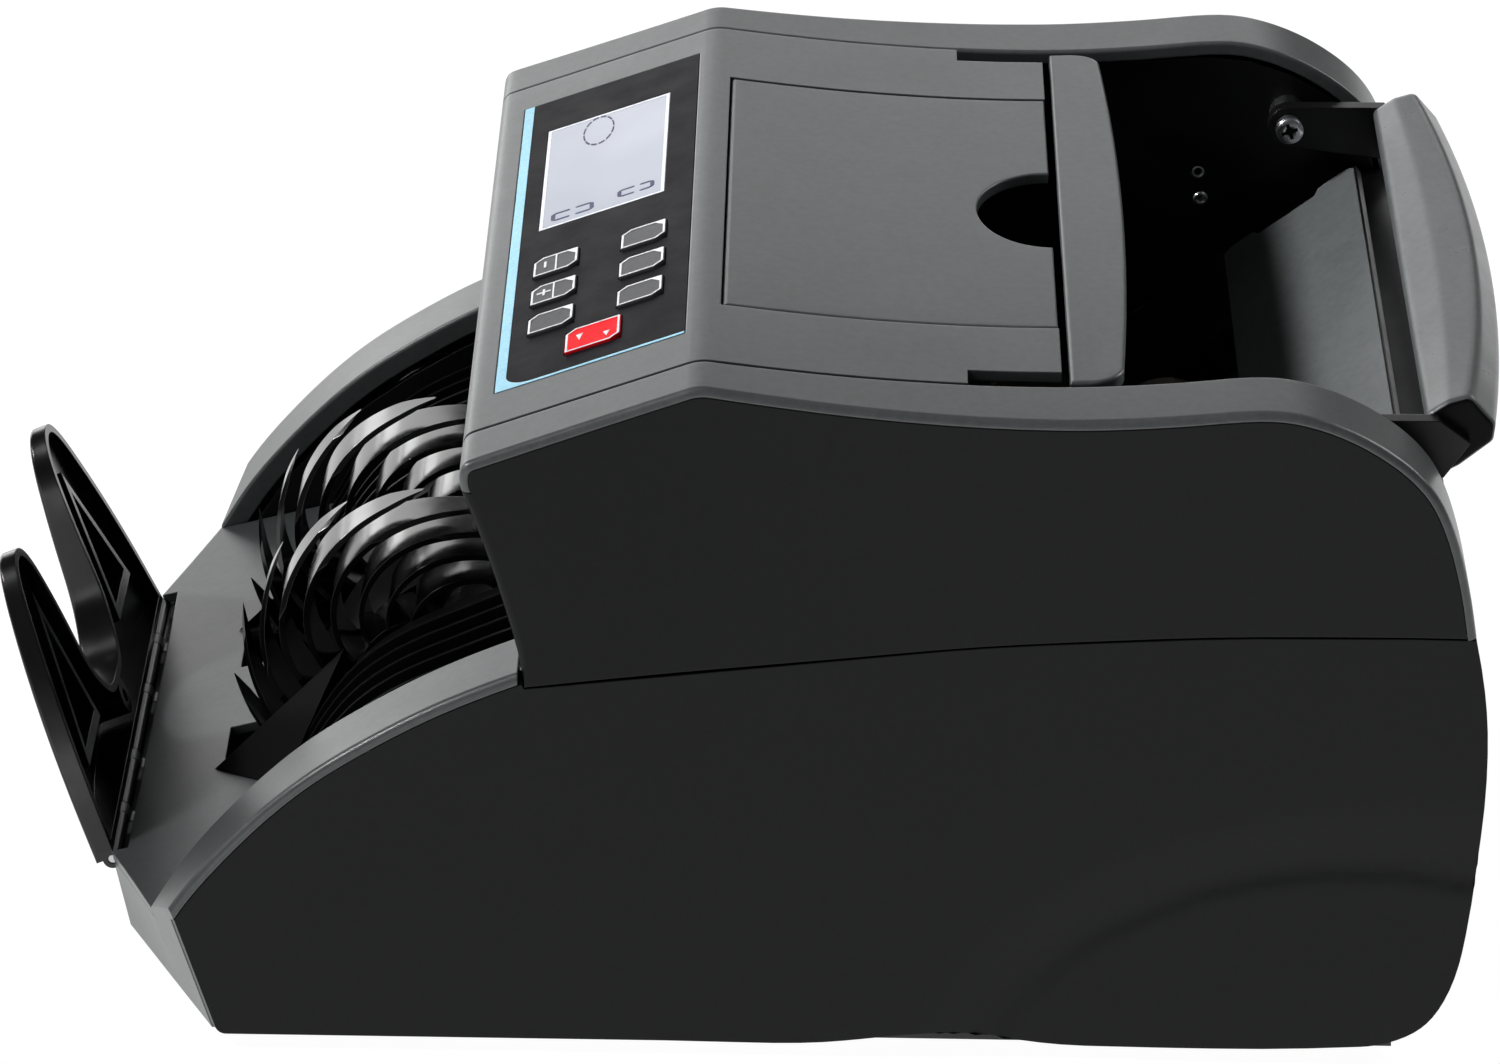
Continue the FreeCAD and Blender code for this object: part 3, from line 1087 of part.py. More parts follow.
# rocker: shallow V-shaped cap turning about a vertical axis through its middle
rk = Bd("rocker_body")
rx = SWI[0]
cz_ = Rotation(V(0, 0, 1), 0)
rk.pad(rk.sketch("XY_Plane", g_poly([(-8.0, 0.2), (-8.0, 3.4), (0.0, 2.0), (8.0, 3.4), (8.0, 0.2), (3.0, -2.6), (-3.0, -2.6)]),
                 -5.0), "rocker_hgt", 10.0)
rk.pad(rk.sketch("XY_Plane", g_circle(0, 0, 1.2), -6.2), "rocker_trunnion", 12.4)
rk.b.Placement = Placement(V(rx, 141.2, SWI[1]), Rotation(V(0, 0, 1), -9))
keep(rk.b, "switch_rocker")

doc.recompute()

# -------------------------------------------------------------- stacker wheels
BL = [(0, 44.0), (12, 41.6), (25, 39.2), (38, 36.8), (50, 34.1), (64, 30.4), (79, 25.6), (93, 20.4), (108, 12.5)]


def polar(deg, r):
    a = math.radians(deg)
    return (r * math.cos(a), r * math.sin(a))


def wheel(key, x0):
    w = Bd(key)
    k = D["wheel_rad"] / 44.0
    outer_pts = [polar(a + 16.7, r * k) for a, r in BL]
    inner_pts = [outer_pts[0]]
    for i, (a, r) in enumerate(BL[1:]):
        t = 0.8 + 0.9 * min(1.0, (i + 1) / 5.0)
        inner_pts.append(polar(a + 16.7, r * k - t))
    co = flat_spl(outer_pts)
    ci = flat_spl([inner_pts[-1]] + inner_pts[-2::-1])
    geos = [co, Part.LineSegment(V(*outer_pts[-1], 0), V(*inner_pts[-1], 0)), ci]
    hub = w.pad(w.sketch("XY_Plane", g_circle(0, 0, D["hub_rad"]) + g_circle(0, 0, D["shaft_rad"] + 0.02), 0), "wheel_wid")
    bl = w.pad(w.sketch("XY_Plane", geos, 0), "wheel_wid")
    pt = w.b.newObject("PartDesign::PolarPattern", name(key + "_pat"))
    pt.Originals = [bl]
    for f in w.b.Origin.OriginFeatures:
        if f.Role == "Z_Axis":
            pt.Axis = (f, [""])
    pt.Angle = 360.0
    pt.Occurrences = int(D["blade_count"])
    pt.setExpression("Occurrences", "Dims.blade_count")
    w.b.Tip = pt
    doc.recompute()
    # both sides close in towards the rim, so that every blade ends in a point
    m = D["wheel_wid"] / 2
    side = [(35.5 * k, m), (38.4 * k, m - 2.2), (41.6 * k, m - 4.6), (44.0 * k, 0.3)]
    lo = [(r, m - h) for r, h in side]
    up_ = [(r, m + h) for r, h in side]
    lo += [(50.0, m - 0.3), (50.0, -1.0), (side[0][0], -1.0)]
    up_ += [(50.0, m + 0.3), (50.0, 2 * m + 1.0), (side[0][0], 2 * m + 1.0)]
    w.groove(w.sketch("XZ_Plane", g_poly(lo) + g_poly(up_), 0))
    w.b.Placement = Placement(V(x0, D["wheel_y"], D["wheel_z"]), Rotation(V(1, 1, 1), 120))
    return w.b


wi, ww = D["wheel_in"], D["wheel_wid"]
keep(wheel("wheel_right_body", wi), "stacker_wheel_right")
keep(wheel("wheel_left_body", -wi - ww), "stacker_wheel_left")

# left-hand copies of the handed side pieces
mirror(upper_rail_right, "upper_rail_left")
mirror(upper_side_right, "upper_side_left")
mirror(front_rail_right, "front_rail_left")
mirror(lower_side_right, "lower_side_left")
doc.recompute()

# ----------------------------------------------------------- check and export
bad = []
for o in doc.Objects:
    st = [str(x) for x in o.State]
    if "Invalid" in st or "Error" in st:
        bad.append("%s: state %s" % (o.Label, st))
for o in NODES:
    s = o.Shape
    if s.isNull() or not s.isValid() or not s.Solids or s.Volume <= 0:
        bad.append("%s: shape null, invalid or not solid (%d solids, valid %s)" %
                   (o.Label, len(s.Solids), s.isValid()))
if bad:
    raise RuntimeError("; ".join(bad))

os.makedirs("parts", exist_ok=True)
for f in os.listdir("parts"):
    if f.endswith(".step"):
        os.remove(os.path.join("parts", f))
box = FreeCAD.BoundBox()
for o in NODES:
    o.Shape.exportStep(os.path.join("parts", o.Label + ".step"))
    box.add(o.Shape.optimalBoundingBox(True, False))
    print("%-22s solids %2d  volume %9.1f" % (o.Label, len(o.Shape.Solids), o.Shape.Volume))
print("nodes", len(NODES), "box", [round(v, 2) for v in (box.XMin, box.XMax, box.YMin, box.YMax, box.ZMin, box.ZMax)])
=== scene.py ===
import bpy
import bmesh
import json
import math
import random
from mathutils import Vector, Matrix, geometry


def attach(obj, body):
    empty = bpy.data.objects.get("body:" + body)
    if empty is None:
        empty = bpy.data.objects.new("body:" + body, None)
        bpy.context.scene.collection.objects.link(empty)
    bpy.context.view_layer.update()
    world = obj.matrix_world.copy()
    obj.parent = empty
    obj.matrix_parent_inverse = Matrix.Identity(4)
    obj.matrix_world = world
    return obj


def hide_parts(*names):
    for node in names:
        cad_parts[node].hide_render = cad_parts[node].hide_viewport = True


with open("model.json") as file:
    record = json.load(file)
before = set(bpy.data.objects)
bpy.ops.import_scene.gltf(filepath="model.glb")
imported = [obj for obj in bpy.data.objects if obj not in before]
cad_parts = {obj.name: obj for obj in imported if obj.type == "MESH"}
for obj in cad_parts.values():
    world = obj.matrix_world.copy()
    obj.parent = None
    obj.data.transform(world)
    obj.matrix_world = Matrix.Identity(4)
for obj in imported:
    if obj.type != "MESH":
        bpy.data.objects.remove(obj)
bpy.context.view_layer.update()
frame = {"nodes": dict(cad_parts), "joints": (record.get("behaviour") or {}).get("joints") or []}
NODES = frame["nodes"]
random.seed(11)
MM = 0.001
# the model's own Y zero, which the hinge of the inspection door fixes
DOOR = [j for j in frame["joints"] if j["name"] == "door_open"][0]["pos_m"]
DY = DOOR[1] + 21.0 * MM


def P(x, y, z):
    """Point given in the machine's working frame in millimetres."""
    return Vector((x * MM, y * MM + DY, z * MM))


# ------------------------------------------------------------------ materials
MATS = {}


def srgb(r, g, b):
    def f(c):
        c /= 255.0
        return c / 12.92 if c <= 0.04045 else ((c + 0.055) / 1.055) ** 2.4
    return (f(r), f(g), f(b), 1.0)


def scaled(c, k):
    return (min(1, c[0] * k), min(1, c[1] * k), min(1, c[2] * k), 1.0)


class Tree:
    def __init__(self, name):
        self.m = bpy.data.materials.new(name)
        self.m.use_nodes = True
        self.t = self.m.node_tree
        self.t.nodes.clear()
        self.out = self.add("ShaderNodeOutputMaterial")
        self.b = self.add("ShaderNodeBsdfPrincipled")
        self.link(self.b, "BSDF", self.out, "Surface")
        self.co = self.add("ShaderNodeTexCoord")
        MATS[name] = self.m

    def add(self, kind, **kw):
        n = self.t.nodes.new(kind)
        for k, v in kw.items():
            setattr(n, k, v)
        return n

    def link(self, a, ao, b, bi):
        self.t.links.new(a.outputs[ao], b.inputs[bi])

    def noise(self, scale, detail=3.0, rough=0.55, dist=0.0):
        n = self.add("ShaderNodeTexNoise")
        n.inputs["Scale"].default_value = scale
        n.inputs["Detail"].default_value = detail
        n.inputs["Roughness"].default_value = rough
        n.inputs["Distortion"].default_value = dist
        self.link(self.co, "Object", n, "Vector")
        return n

    def ramp(self, src, out, stops):
        r = self.add("ShaderNodeValToRGB")
        e = r.color_ramp.elements
        while len(e) < len(stops):
            e.new(0.5)
        for i, (p, c) in enumerate(stops):
            e[i].position = p
            e[i].color = c
        self.link(src, out, r, "Fac")
        return r

    def rng(self, src, out, a, b, lo=0.3, hi=0.7):
        r = self.add("ShaderNodeMapRange")
        r.inputs["From Min"].default_value = lo
        r.inputs["From Max"].default_value = hi
        r.inputs["To Min"].default_value = a
        r.inputs["To Max"].default_value = b
        self.link(src, out, r, "Value")
        return r

    def bump(self, src, out, strength, dist, edge=0.0):
        bp = self.add("ShaderNodeBump")
        bp.inputs["Strength"].default_value = strength
        bp.inputs["Distance"].default_value = dist
        self.link(src, out, bp, "Height")
        if edge:
            bv = self.add("ShaderNodeBevel", samples=8)
            bv.inputs["Radius"].default_value = edge
            self.link(bv, "Normal", bp, "Normal")
        self.link(bp, "Normal", self.b, "Normal")
        return bp


def plastic(name, col, rough, grain=1500.0, depth=0.00004, strength=0.25, vary=0.10, edge=0.0004,
            spec=0.5, wear=0.0, coat=0.0, smudge=0.06, ends=None):
    """Moulded plastic: fine texture, slow tone drift, uneven gloss, paler worn edges."""
    t = Tree(name)
    slow = t.noise(38.0, 4.0, 0.6)
    fine = t.noise(grain, 2.0, 0.6)
    speck = t.noise(grain * 0.35, 3.0, 0.7)
    base = t.ramp(slow, "Fac", [(0.30, scaled(col, 1 - vary)), (0.70, scaled(col, 1 + vary))])
    mix = t.add("ShaderNodeMix", data_type="RGBA", blend_type="MULTIPLY")
    mix.inputs["Factor"].default_value = 1.0
    sp = t.ramp(speck, "Fac", [(0.32, (0.86, 0.86, 0.86, 1)), (0.62, (1.06, 1.06, 1.06, 1))])
    t.t.links.new(base.outputs["Color"], mix.inputs[6])
    t.t.links.new(sp.outputs["Color"], mix.inputs[7])
    last = mix.outputs[2]
    if wear > 0:
        # handled corners polish lighter
        geo = t.add("ShaderNodeNewGeometry")
        wr = t.ramp(geo, "Pointiness", [(0.52, (0, 0, 0, 1)), (0.60, (1, 1, 1, 1))])
        wn = t.noise(240.0, 4.0, 0.7)
        wm = t.add("ShaderNodeMath", operation="MULTIPLY")
        t.t.links.new(wr.outputs["Color"], wm.inputs[0])
        t.link(wn, "Fac", wm, 1)
        wk = t.add("ShaderNodeMath", operation="MULTIPLY")
        t.t.links.new(wm.outputs[0], wk.inputs[0])
        wk.inputs[1].default_value = wear
        mw = t.add("ShaderNodeMix", data_type="RGBA")
        t.t.links.new(wk.outputs[0], mw.inputs["Factor"])
        t.t.links.new(last, mw.inputs[6])
        mw.inputs[7].default_value = scaled(col, 1.9)
        last = mw.outputs[2]
    if ends:
        # end faces, which look along the machine's width, in a second colour
        sx = t.add("ShaderNodeSeparateXYZ")
        t.link(t.co, "Normal", sx, "Vector")
        ab = t.add("ShaderNodeMath", operation="ABSOLUTE")
        t.link(sx, "X", ab, 0)
        er = t.ramp(ab, "Value", [(0.80, (0, 0, 0, 1)), (0.90, (1, 1, 1, 1))])
        me = t.add("ShaderNodeMix", data_type="RGBA")
        t.link(er, "Color", me, "Factor")
        t.t.links.new(last, me.inputs[6])
        me.inputs[7].default_value = ends
        last = me.outputs[2]
    t.t.links.new(last, t.b.inputs["Base Color"])
    rn = t.noise(90.0, 5.0, 0.65)
    rr = t.rng(rn, "Fac", rough - smudge, rough + smudge)
    t.link(rr, "Result", t.b, "Roughness")
    t.b.inputs["Specular IOR Level"].default_value = spec
    if ends:
        sr = t.add("ShaderNodeMapRange")
        sr.inputs["To Min"].default_value = spec
        sr.inputs["To Max"].default_value = spec * 0.2
        t.link(er, "Color", sr, "Value")
        t.link(sr, "Result", t.b, "Specular IOR Level")
    if coat:
        t.b.inputs["Coat Weight"].default_value = coat
        t.b.inputs["Coat Roughness"].default_value = 0.12
    t.bump(fine, "Fac", strength, depth, edge)
    return t.m


def metal(name, col, rough, brush=(1, 60, 60), scale=60.0, edge=0.0002, vary=0.12):
    """Turned or drawn metal with fine brush lines and slight tarnish."""
    t = Tree(name)
    mp = t.add("ShaderNodeMapping")
    mp.inputs["Scale"].default_value = brush
    t.link(t.co, "Object", mp, "Vector")
    n = t.add("ShaderNodeTexNoise")
    n.inputs["Scale"].default_value = scale
    n.inputs["Detail"].default_value = 5.0
    t.link(mp, "Vector", n, "Vector")
    slow = t.noise(55.0, 4.0, 0.6)
    base = t.ramp(slow, "Fac", [(0.3, scaled(col, 1 - vary)), (0.7, scaled(col, 1 + vary))])
    t.link(base, "Color", t.b, "Base Color")
    t.b.inputs["Metallic"].default_value = 1.0
    rr = t.rng(n, "Fac", rough - 0.07, rough + 0.09)
    t.link(rr, "Result", t.b, "Roughness")
    t.bump(n, "Fac", 0.18, 0.00002, edge)
    return t.m


GREY = srgb(80, 83, 84)
M_GREY = plastic("grey_shell", GREY, 0.34, grain=1300, depth=0.00003, strength=0.22, vary=0.03, edge=0.0005, wear=0.25, spec=0.5, smudge=0.015)
M_GREY_IN = plastic("grey_inner", srgb(92, 95, 96), 0.42, grain=1300, vary=0.04, edge=0.0004)
M_GRIP = plastic("grey_grip", srgb(88, 91, 92), 0.30, grain=1300, depth=0.00001, strength=0.06, vary=0.03, edge=0.0022, smudge=0.03, spec=0.4,
                 ends=srgb(14, 14, 15))
M_SIDE = plastic("black_side", srgb(20, 22, 21), 0.36, grain=1700, depth=0.00002, strength=0.10, vary=0.03, edge=0.0004, spec=0.17, smudge=0.02)
M_GLOSS = plastic("black_gloss", srgb(16, 16, 17), 0.22, grain=700, depth=0.00001, strength=0.08, vary=0.08, edge=0.0003, smudge=0.05)
M_WHEEL = plastic("wheel_black", srgb(10, 10, 11), 0.13, grain=520, depth=0.00001, strength=0.06, vary=0.10, edge=0.00015, smudge=0.04, spec=0.6)
M_GUIDE = plastic("guide_black", srgb(10, 10, 10), 0.50, grain=900, depth=0.000015, strength=0.10, vary=0.08, edge=0.0003, spec=0.07)
M_WALL = plastic("wall_black", srgb(12, 12, 12), 0.36, grain=1100, depth=0.00002, strength=0.14, vary=0.06, edge=0.0004, spec=0.35)
M_SHEET = plastic("sheet_black", srgb(26, 27, 28), 0.46, grain=1600, depth=0.00004, strength=0.30, vary=0.05, edge=0.0005)
M_FILM = plastic("panel_film", srgb(24, 23, 27), 0.46, grain=2600, depth=0.00001, strength=0.10, vary=0.02, edge=0.0002, spec=0.03)
M_BLUE = plastic("panel_blue", srgb(160, 222, 248), 0.38, grain=2600, depth=0.00001, strength=0.08, vary=0.012, edge=0.0002)
M_KEY = plastic("key_grey", srgb(90, 90, 92), 0.46, grain=2600, depth=0.00001, strength=0.10, vary=0.02, edge=0.0003, spec=0.12, smudge=0.03)
M_WHITE = plastic("key_white", srgb(244, 244, 246), 0.40, grain=2600, depth=0.00001, strength=0.08, vary=0.01, edge=0.0002)
M_RED = plastic("key_red", srgb(250, 18, 32), 0.46, grain=2600, depth=0.00001, strength=0.10, vary=0.02, edge=0.0003, spec=0.05, smudge=0.03)
M_RIM = plastic("display_rim", srgb(240, 242, 250), 0.35, grain=2600, depth=0.000005, strength=0.05, vary=0.01, edge=0.0)
M_INK = plastic("lcd_ink", srgb(48, 48, 92), 0.45, grain=2600, depth=0.000005, strength=0.05, vary=0.05, edge=0.0)
M_RUBBER = plastic("rubber_black", srgb(24, 24, 25), 0.72, grain=900, depth=0.00008, strength=0.4, vary=0.10, edge=0.0004, spec=0.25)
M_ROLLER = plastic("rubber_roller", srgb(96, 90, 82), 0.66, grain=800, depth=0.00006, strength=0.4, vary=0.10, edge=0.0004, spec=0.3)
M_BOARD = plastic("board_green", srgb(22, 84, 48), 0.34, grain=600, depth=0.00003, strength=0.25, vary=0.12, edge=0.0002)
M_CORE = plastic("core_varnish", srgb(92, 92, 98), 0.40, grain=300, depth=0.0001, strength=0.4, vary=0.12, edge=0.0004)
M_STEEL = metal("steel_turned", (0.56, 0.56, 0.57, 1), 0.26)
M_ZINC = metal("zinc_screw", (0.60, 0.61, 0.64, 1), 0.28, brush=(1, 8, 8), scale=40)
M_MOTOR = metal("motor_can", (0.42, 0.43, 0.45, 1), 0.34, brush=(60, 1, 1))
M_BRASS = metal("brass_bush", (0.78, 0.58, 0.26, 1), 0.30)


def lcd_material():
    """Back-lit display glass: pale lavender with soft brighter middle and faint cell lines."""
    t = Tree("lcd_glass")
    mp = t.add("ShaderNodeMapping")
    mp.inputs["Scale"].default_value = (9, 9, 9)
    t.link(t.co, "Object", mp, "Vector")
    n = t.add("ShaderNodeTexNoise")
    n.inputs["Scale"].default_value = 2.0
    n.inputs["Detail"].default_value = 2.0
    t.link(mp, "Vector", n, "Vector")
    base = t.ramp(n, "Fac", [(0.35, srgb(162, 167, 180)), (0.65, srgb(178, 182, 193))])
    t.link(base, "Color", t.b, "Base Color")
    t.link(base, "Color", t.b, "Emission Color")
    t.b.inputs["Emission Strength"].default_value = 0.14
    r = t.noise(160.0, 4.0, 0.6)
    rr = t.rng(r, "Fac", 0.16, 0.24)
    t.link(rr, "Result", t.b, "Roughness")
    t.b.inputs["Specular IOR Level"].default_value = 0.15
    f = t.noise(3000.0, 1.0, 0.5)
    t.bump(f, "Fac", 0.03, 0.000005, 0.0002)
    return t.m


M_LCD = lcd_material()

BY_NODE = {
    "upper_rail_left": M_GREY, "upper_rail_right": M_GREY, "front_rail_left": M_GREY, "front_rail_right": M_GREY,
    "top_cover": M_GREY, "inspection_door": M_GREY, "hopper_lip": M_GREY, "stacker_tray": M_GREY, "front_nose": M_GREY,
    "handle_bar": M_GRIP, "hopper_ramp": M_WALL,
    "upper_side_left": M_SIDE, "upper_side_right": M_SIDE, "lower_side_left": M_SIDE, "lower_side_right": M_SIDE,
    "note_stop": M_GLOSS, "stacker_wheel_left": M_WHEEL, "stacker_wheel_right": M_WHEEL, "exit_guide": M_GUIDE,
    "front_skirt": M_GUIDE, "handle_arms": M_WALL, "power_entry": M_GLOSS, "switch_rocker": M_GLOSS,
    "hopper_front_plate": M_WALL, "transport_plate": M_GUIDE, "sensor_bar": M_GUIDE,
    "chassis_wall_left": M_WALL, "chassis_wall_right": M_WALL, "rear_panel": M_WALL, "base_pan": M_SHEET,
    "keypad_overlay": M_FILM, "display_window": M_LCD, "key_reset": M_RED,
    "main_motor": M_MOTOR, "stacker_motor": M_MOTOR, "hinge_pins": M_STEEL, "handle_pivot_screws": M_ZINC,
    "stacker_shaft": M_STEEL, "feed_shaft": M_STEEL, "pickup_shaft": M_STEEL, "motor_pulley": M_STEEL,
    "stacker_motor_pulley": M_STEEL, "feed_rollers": M_ROLLER, "pickup_rollers": M_ROLLER, "pinch_roller": M_ROLLER,
    "retard_roller": M_ROLLER, "rubber_feet": M_RUBBER, "drive_belt": M_RUBBER, "pickup_belt": M_RUBBER,
    "stacker_belt": M_RUBBER, "shaft_bushes": M_BRASS, "control_board": M_BOARD, "main_board": M_BOARD,
    "power_supply": M_CORE,
}
for _n, _o in NODES.items():
    _m = BY_NODE.get(_n) or (M_KEY if _n.startswith("key_") else M_GREY)
    _o.data.materials.clear()
    _o.data.materials.append(_m)


# --------------------------------------------------------------- mesh helpers
def piece(name, verts, faces, mat, body="housing", smooth=False, replaces=()):
    me = bpy.data.meshes.new(name)
    me.from_pydata([tuple(v) for v in verts], [], faces)
    bm = bmesh.new()
    bm.from_mesh(me)
    bmesh.ops.recalc_face_normals(bm, faces=bm.faces)
    bm.to_mesh(me)
    bm.free()
    me.update()
    for p in me.polygons:
        p.use_smooth = smooth
    o = bpy.data.objects.new(name, me)
    bpy.context.scene.collection.objects.link(o)
    me.materials.append(mat)
    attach(o, body)
    if replaces:
        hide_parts(*replaces)
    return o


def bevel(o, width, seg=2, angle=30.0, harden=True):
    m = o.modifiers.new("edge", "BEVEL")
    m.width = width
    m.segments = seg
    m.limit_method = "ANGLE"
    m.angle_limit = math.radians(angle)
    m.harden_normals = harden
    for p in o.data.polygons:
        p.use_smooth = True
    return o


class Acc:
    """Gathers several solids into one mesh."""

    def __init__(self):
        self.v, self.f = [], []

    def add(self, verts, faces):
        n = len(self.v)
        self.v += [Vector(v) for v in verts]
        self.f += [tuple(i + n for i in f) for f in faces]

    def prism(self, pts, fn, lo, hi):
        """Polygon pts (a, b) raised from lo to hi; fn maps (a, b, c) to a point."""
        n = len(pts)
        v = [fn(a, b, lo) for a, b in pts] + [fn(a, b, hi) for a, b in pts]
        f = [tuple(range(n - 1, -1, -1)), tuple(range(n, 2 * n))]
        f += [(i, (i + 1) % n, n + (i + 1) % n, n + i) for i in range(n)]
        self.add(v, f)

    def ring(self, outer, inner, fn, lo, hi):
        n = len(outer)
        v = [fn(a, b, lo) for a, b in outer] + [fn(a, b, lo) for a, b in inner]
        v += [fn(a, b, hi) for a, b in outer] + [fn(a, b, hi) for a, b in inner]
        f = []
        for i in range(n):
            j = (i + 1) % n
            f.append((i, n + i, n + j, j))
            f.append((2 * n + i, 2 * n + j, 3 * n + j, 3 * n + i))
            f.append((i, j, 2 * n + j, 2 * n + i))
            f.append((n + i, 3 * n + i, 3 * n + j, n + j))
        self.add(v, f)

    def lathe(self, prof, centre, axis, seg=32):
        """Closed profile of (radius, along) turned about an axis through centre."""
        axis = Vector(axis).normalized()
        u = axis.orthogonal().normalized()
        w = axis.cross(u)
        n = len(prof)
        v = []
        for k in range(seg):
            a = 2 * math.pi * k / seg
            d = u * math.cos(a) + w * math.sin(a)
            v += [Vector(centre) + d * r + axis * h for r, h in prof]
        f = []
        for k in range(seg):
            q = (k + 1) % seg
            for i in range(n):
                j = (i + 1) % n
                f.append((k * n + i, k * n + j, q * n + j, q * n + i))
        self.add(v, f)


def rounded(x0, x1, y0, y1, r, seg=4, corners=(1, 1, 1, 1)):
    """Rounded rectangle, counter-clockwise; corners: (x0y0, x1y0, x1y1, x0y1)."""
    out = []
    for (cx, cy, a0, on) in ((x0, y0, 180, corners[0]), (x1, y0, 270, corners[1]),
                             (x1, y1, 0, corners[2]), (x0, y1, 90, corners[3])):
        if not on or r <= 0:
            out.append((cx, cy))
            continue
        rr = r * on
        ox = cx + (rr if cx == x0 else -rr)
        oy = cy + (rr if cy == y0 else -rr)
        for k in range(seg + 1):
            a = math.radians(a0 + 90.0 * k / seg)
            out.append((ox + rr * math.cos(a), oy + rr * math.sin(a)))
    return out


# ------------------------------------------------------- slanted panel graphics
TILT = math.radians(19.93)


def panel(a, b, c):
    """Panel frame: a across, b up the slope from the ridge, c out of the surface (mm)."""
    return P(a, -26.3 + b * math.cos(TILT) - c * math.sin(TILT), 156.5 + b * math.sin(TILT) + c * math.cos(TILT))


INK = 0.10


def put(name, acc, mat, body="housing", width=0.0, smooth=False):
    o = piece(name, acc.v, acc.f, mat, body, smooth)
    if width:
        bevel(o, width * MM)
    return o


def inset(pts, d):
    """Convex counter-clockwise outline moved inwards by d."""
    n, out = len(pts), []
    for i in range(n):
        p0, p1, p2 = Vector(pts[i - 1]), Vector(pts[i]), Vector(pts[(i + 1) % n])
        a, b = (p1 - p0).normalized(), (p2 - p1).normalized()
        na, nb = Vector((-a.y, a.x)), Vector((-b.y, b.x))
        k = 1.0 + na.dot(nb)
        q = p1 + (na + nb) * (d / k)
        out.append((q.x, q.y))
    return out


# light blue border printed on the film: broad along the front, fine along the near end
acc = Acc()
arc = [(80.6 + 6.3 * math.cos(a), -39.1 + 6.3 * math.sin(a)) for a in
       [math.radians(-9.0 * k) for k in range(11)]]
acc.prism([(-90.95, -47.75), (87.95, -47.75), (87.95, -3.85), (86.9, -3.85)] + arc + [(-90.95, -45.4)],
          panel, -0.05, INK)
put("panel_border", acc, M_BLUE)

# display: pale rim, a dashed oval and two figures made of separate strokes
acc = Acc()
acc.ring([(-70.4, -41.1), (-5.1, -41.1), (-5.1, -10.8), (-70.4, -10.8)],
         [(-69.6, -40.3), (-5.9, -40.3), (-5.9, -11.6), (-69.6, -11.6)], panel, -0.3, -0.04)
put("display_rim", acc, M_RIM)
acc = Acc()
for k in range(12):
    a0, a1 = math.radians(30 * k + 3.5), math.radians(30 * k + 26.5)
    st = [a0 + (a1 - a0) * i / 6 for i in range(7)]
    pts = [(-60.2 + 9.4 * math.cos(a), -28.3 + 3.9 * math.sin(a)) for a in st]
    pts += [(-60.2 + 8.5 * math.cos(a), -28.3 + 3.52 * math.sin(a)) for a in reversed(st)]
    acc.prism(pts, panel, -0.3, -0.03)
for x0, x1, v0, v1, va, vb in ((-15.0, -10.4, -22.3, -13.3, -18.1, -16.9), (-13.5, -8.6, -38.4, -28.0, -33.8, -32.5)):
    t = 0.75
    for xa in (x0, x1 - t):
        acc.prism([(xa, v0 + 1.1), (xa + t / 2, v0 + 0.75), (xa + t, v0 + 1.1), (xa + t, va - 0.3), (xa + t / 2, va),
                   (xa, va - 0.3)], panel, -0.3, -0.03)
        acc.prism([(xa, vb + 0.3), (xa + t / 2, vb), (xa + t, vb + 0.3), (xa + t, v1 - 1.1), (xa + t / 2, v1 - 0.75),
                   (xa, v1 - 1.1)], panel, -0.3, -0.03)
    for va_, s in ((v0, 1), (v1, -1)):
        bar = [(x0 + 0.15, va_ + s * 0.75), (x0 + 1.0, va_), (x1 - 1.0, va_), (x1 - 0.15, va_ + s * 0.75),
               (x1 - 0.8, va_ + s * 1.0), (x0 + 0.8, va_ + s * 1.0)]
        acc.prism(bar if s > 0 else bar[::-1], panel, -0.3, -0.03)
put("display_figures", acc, M_INK)

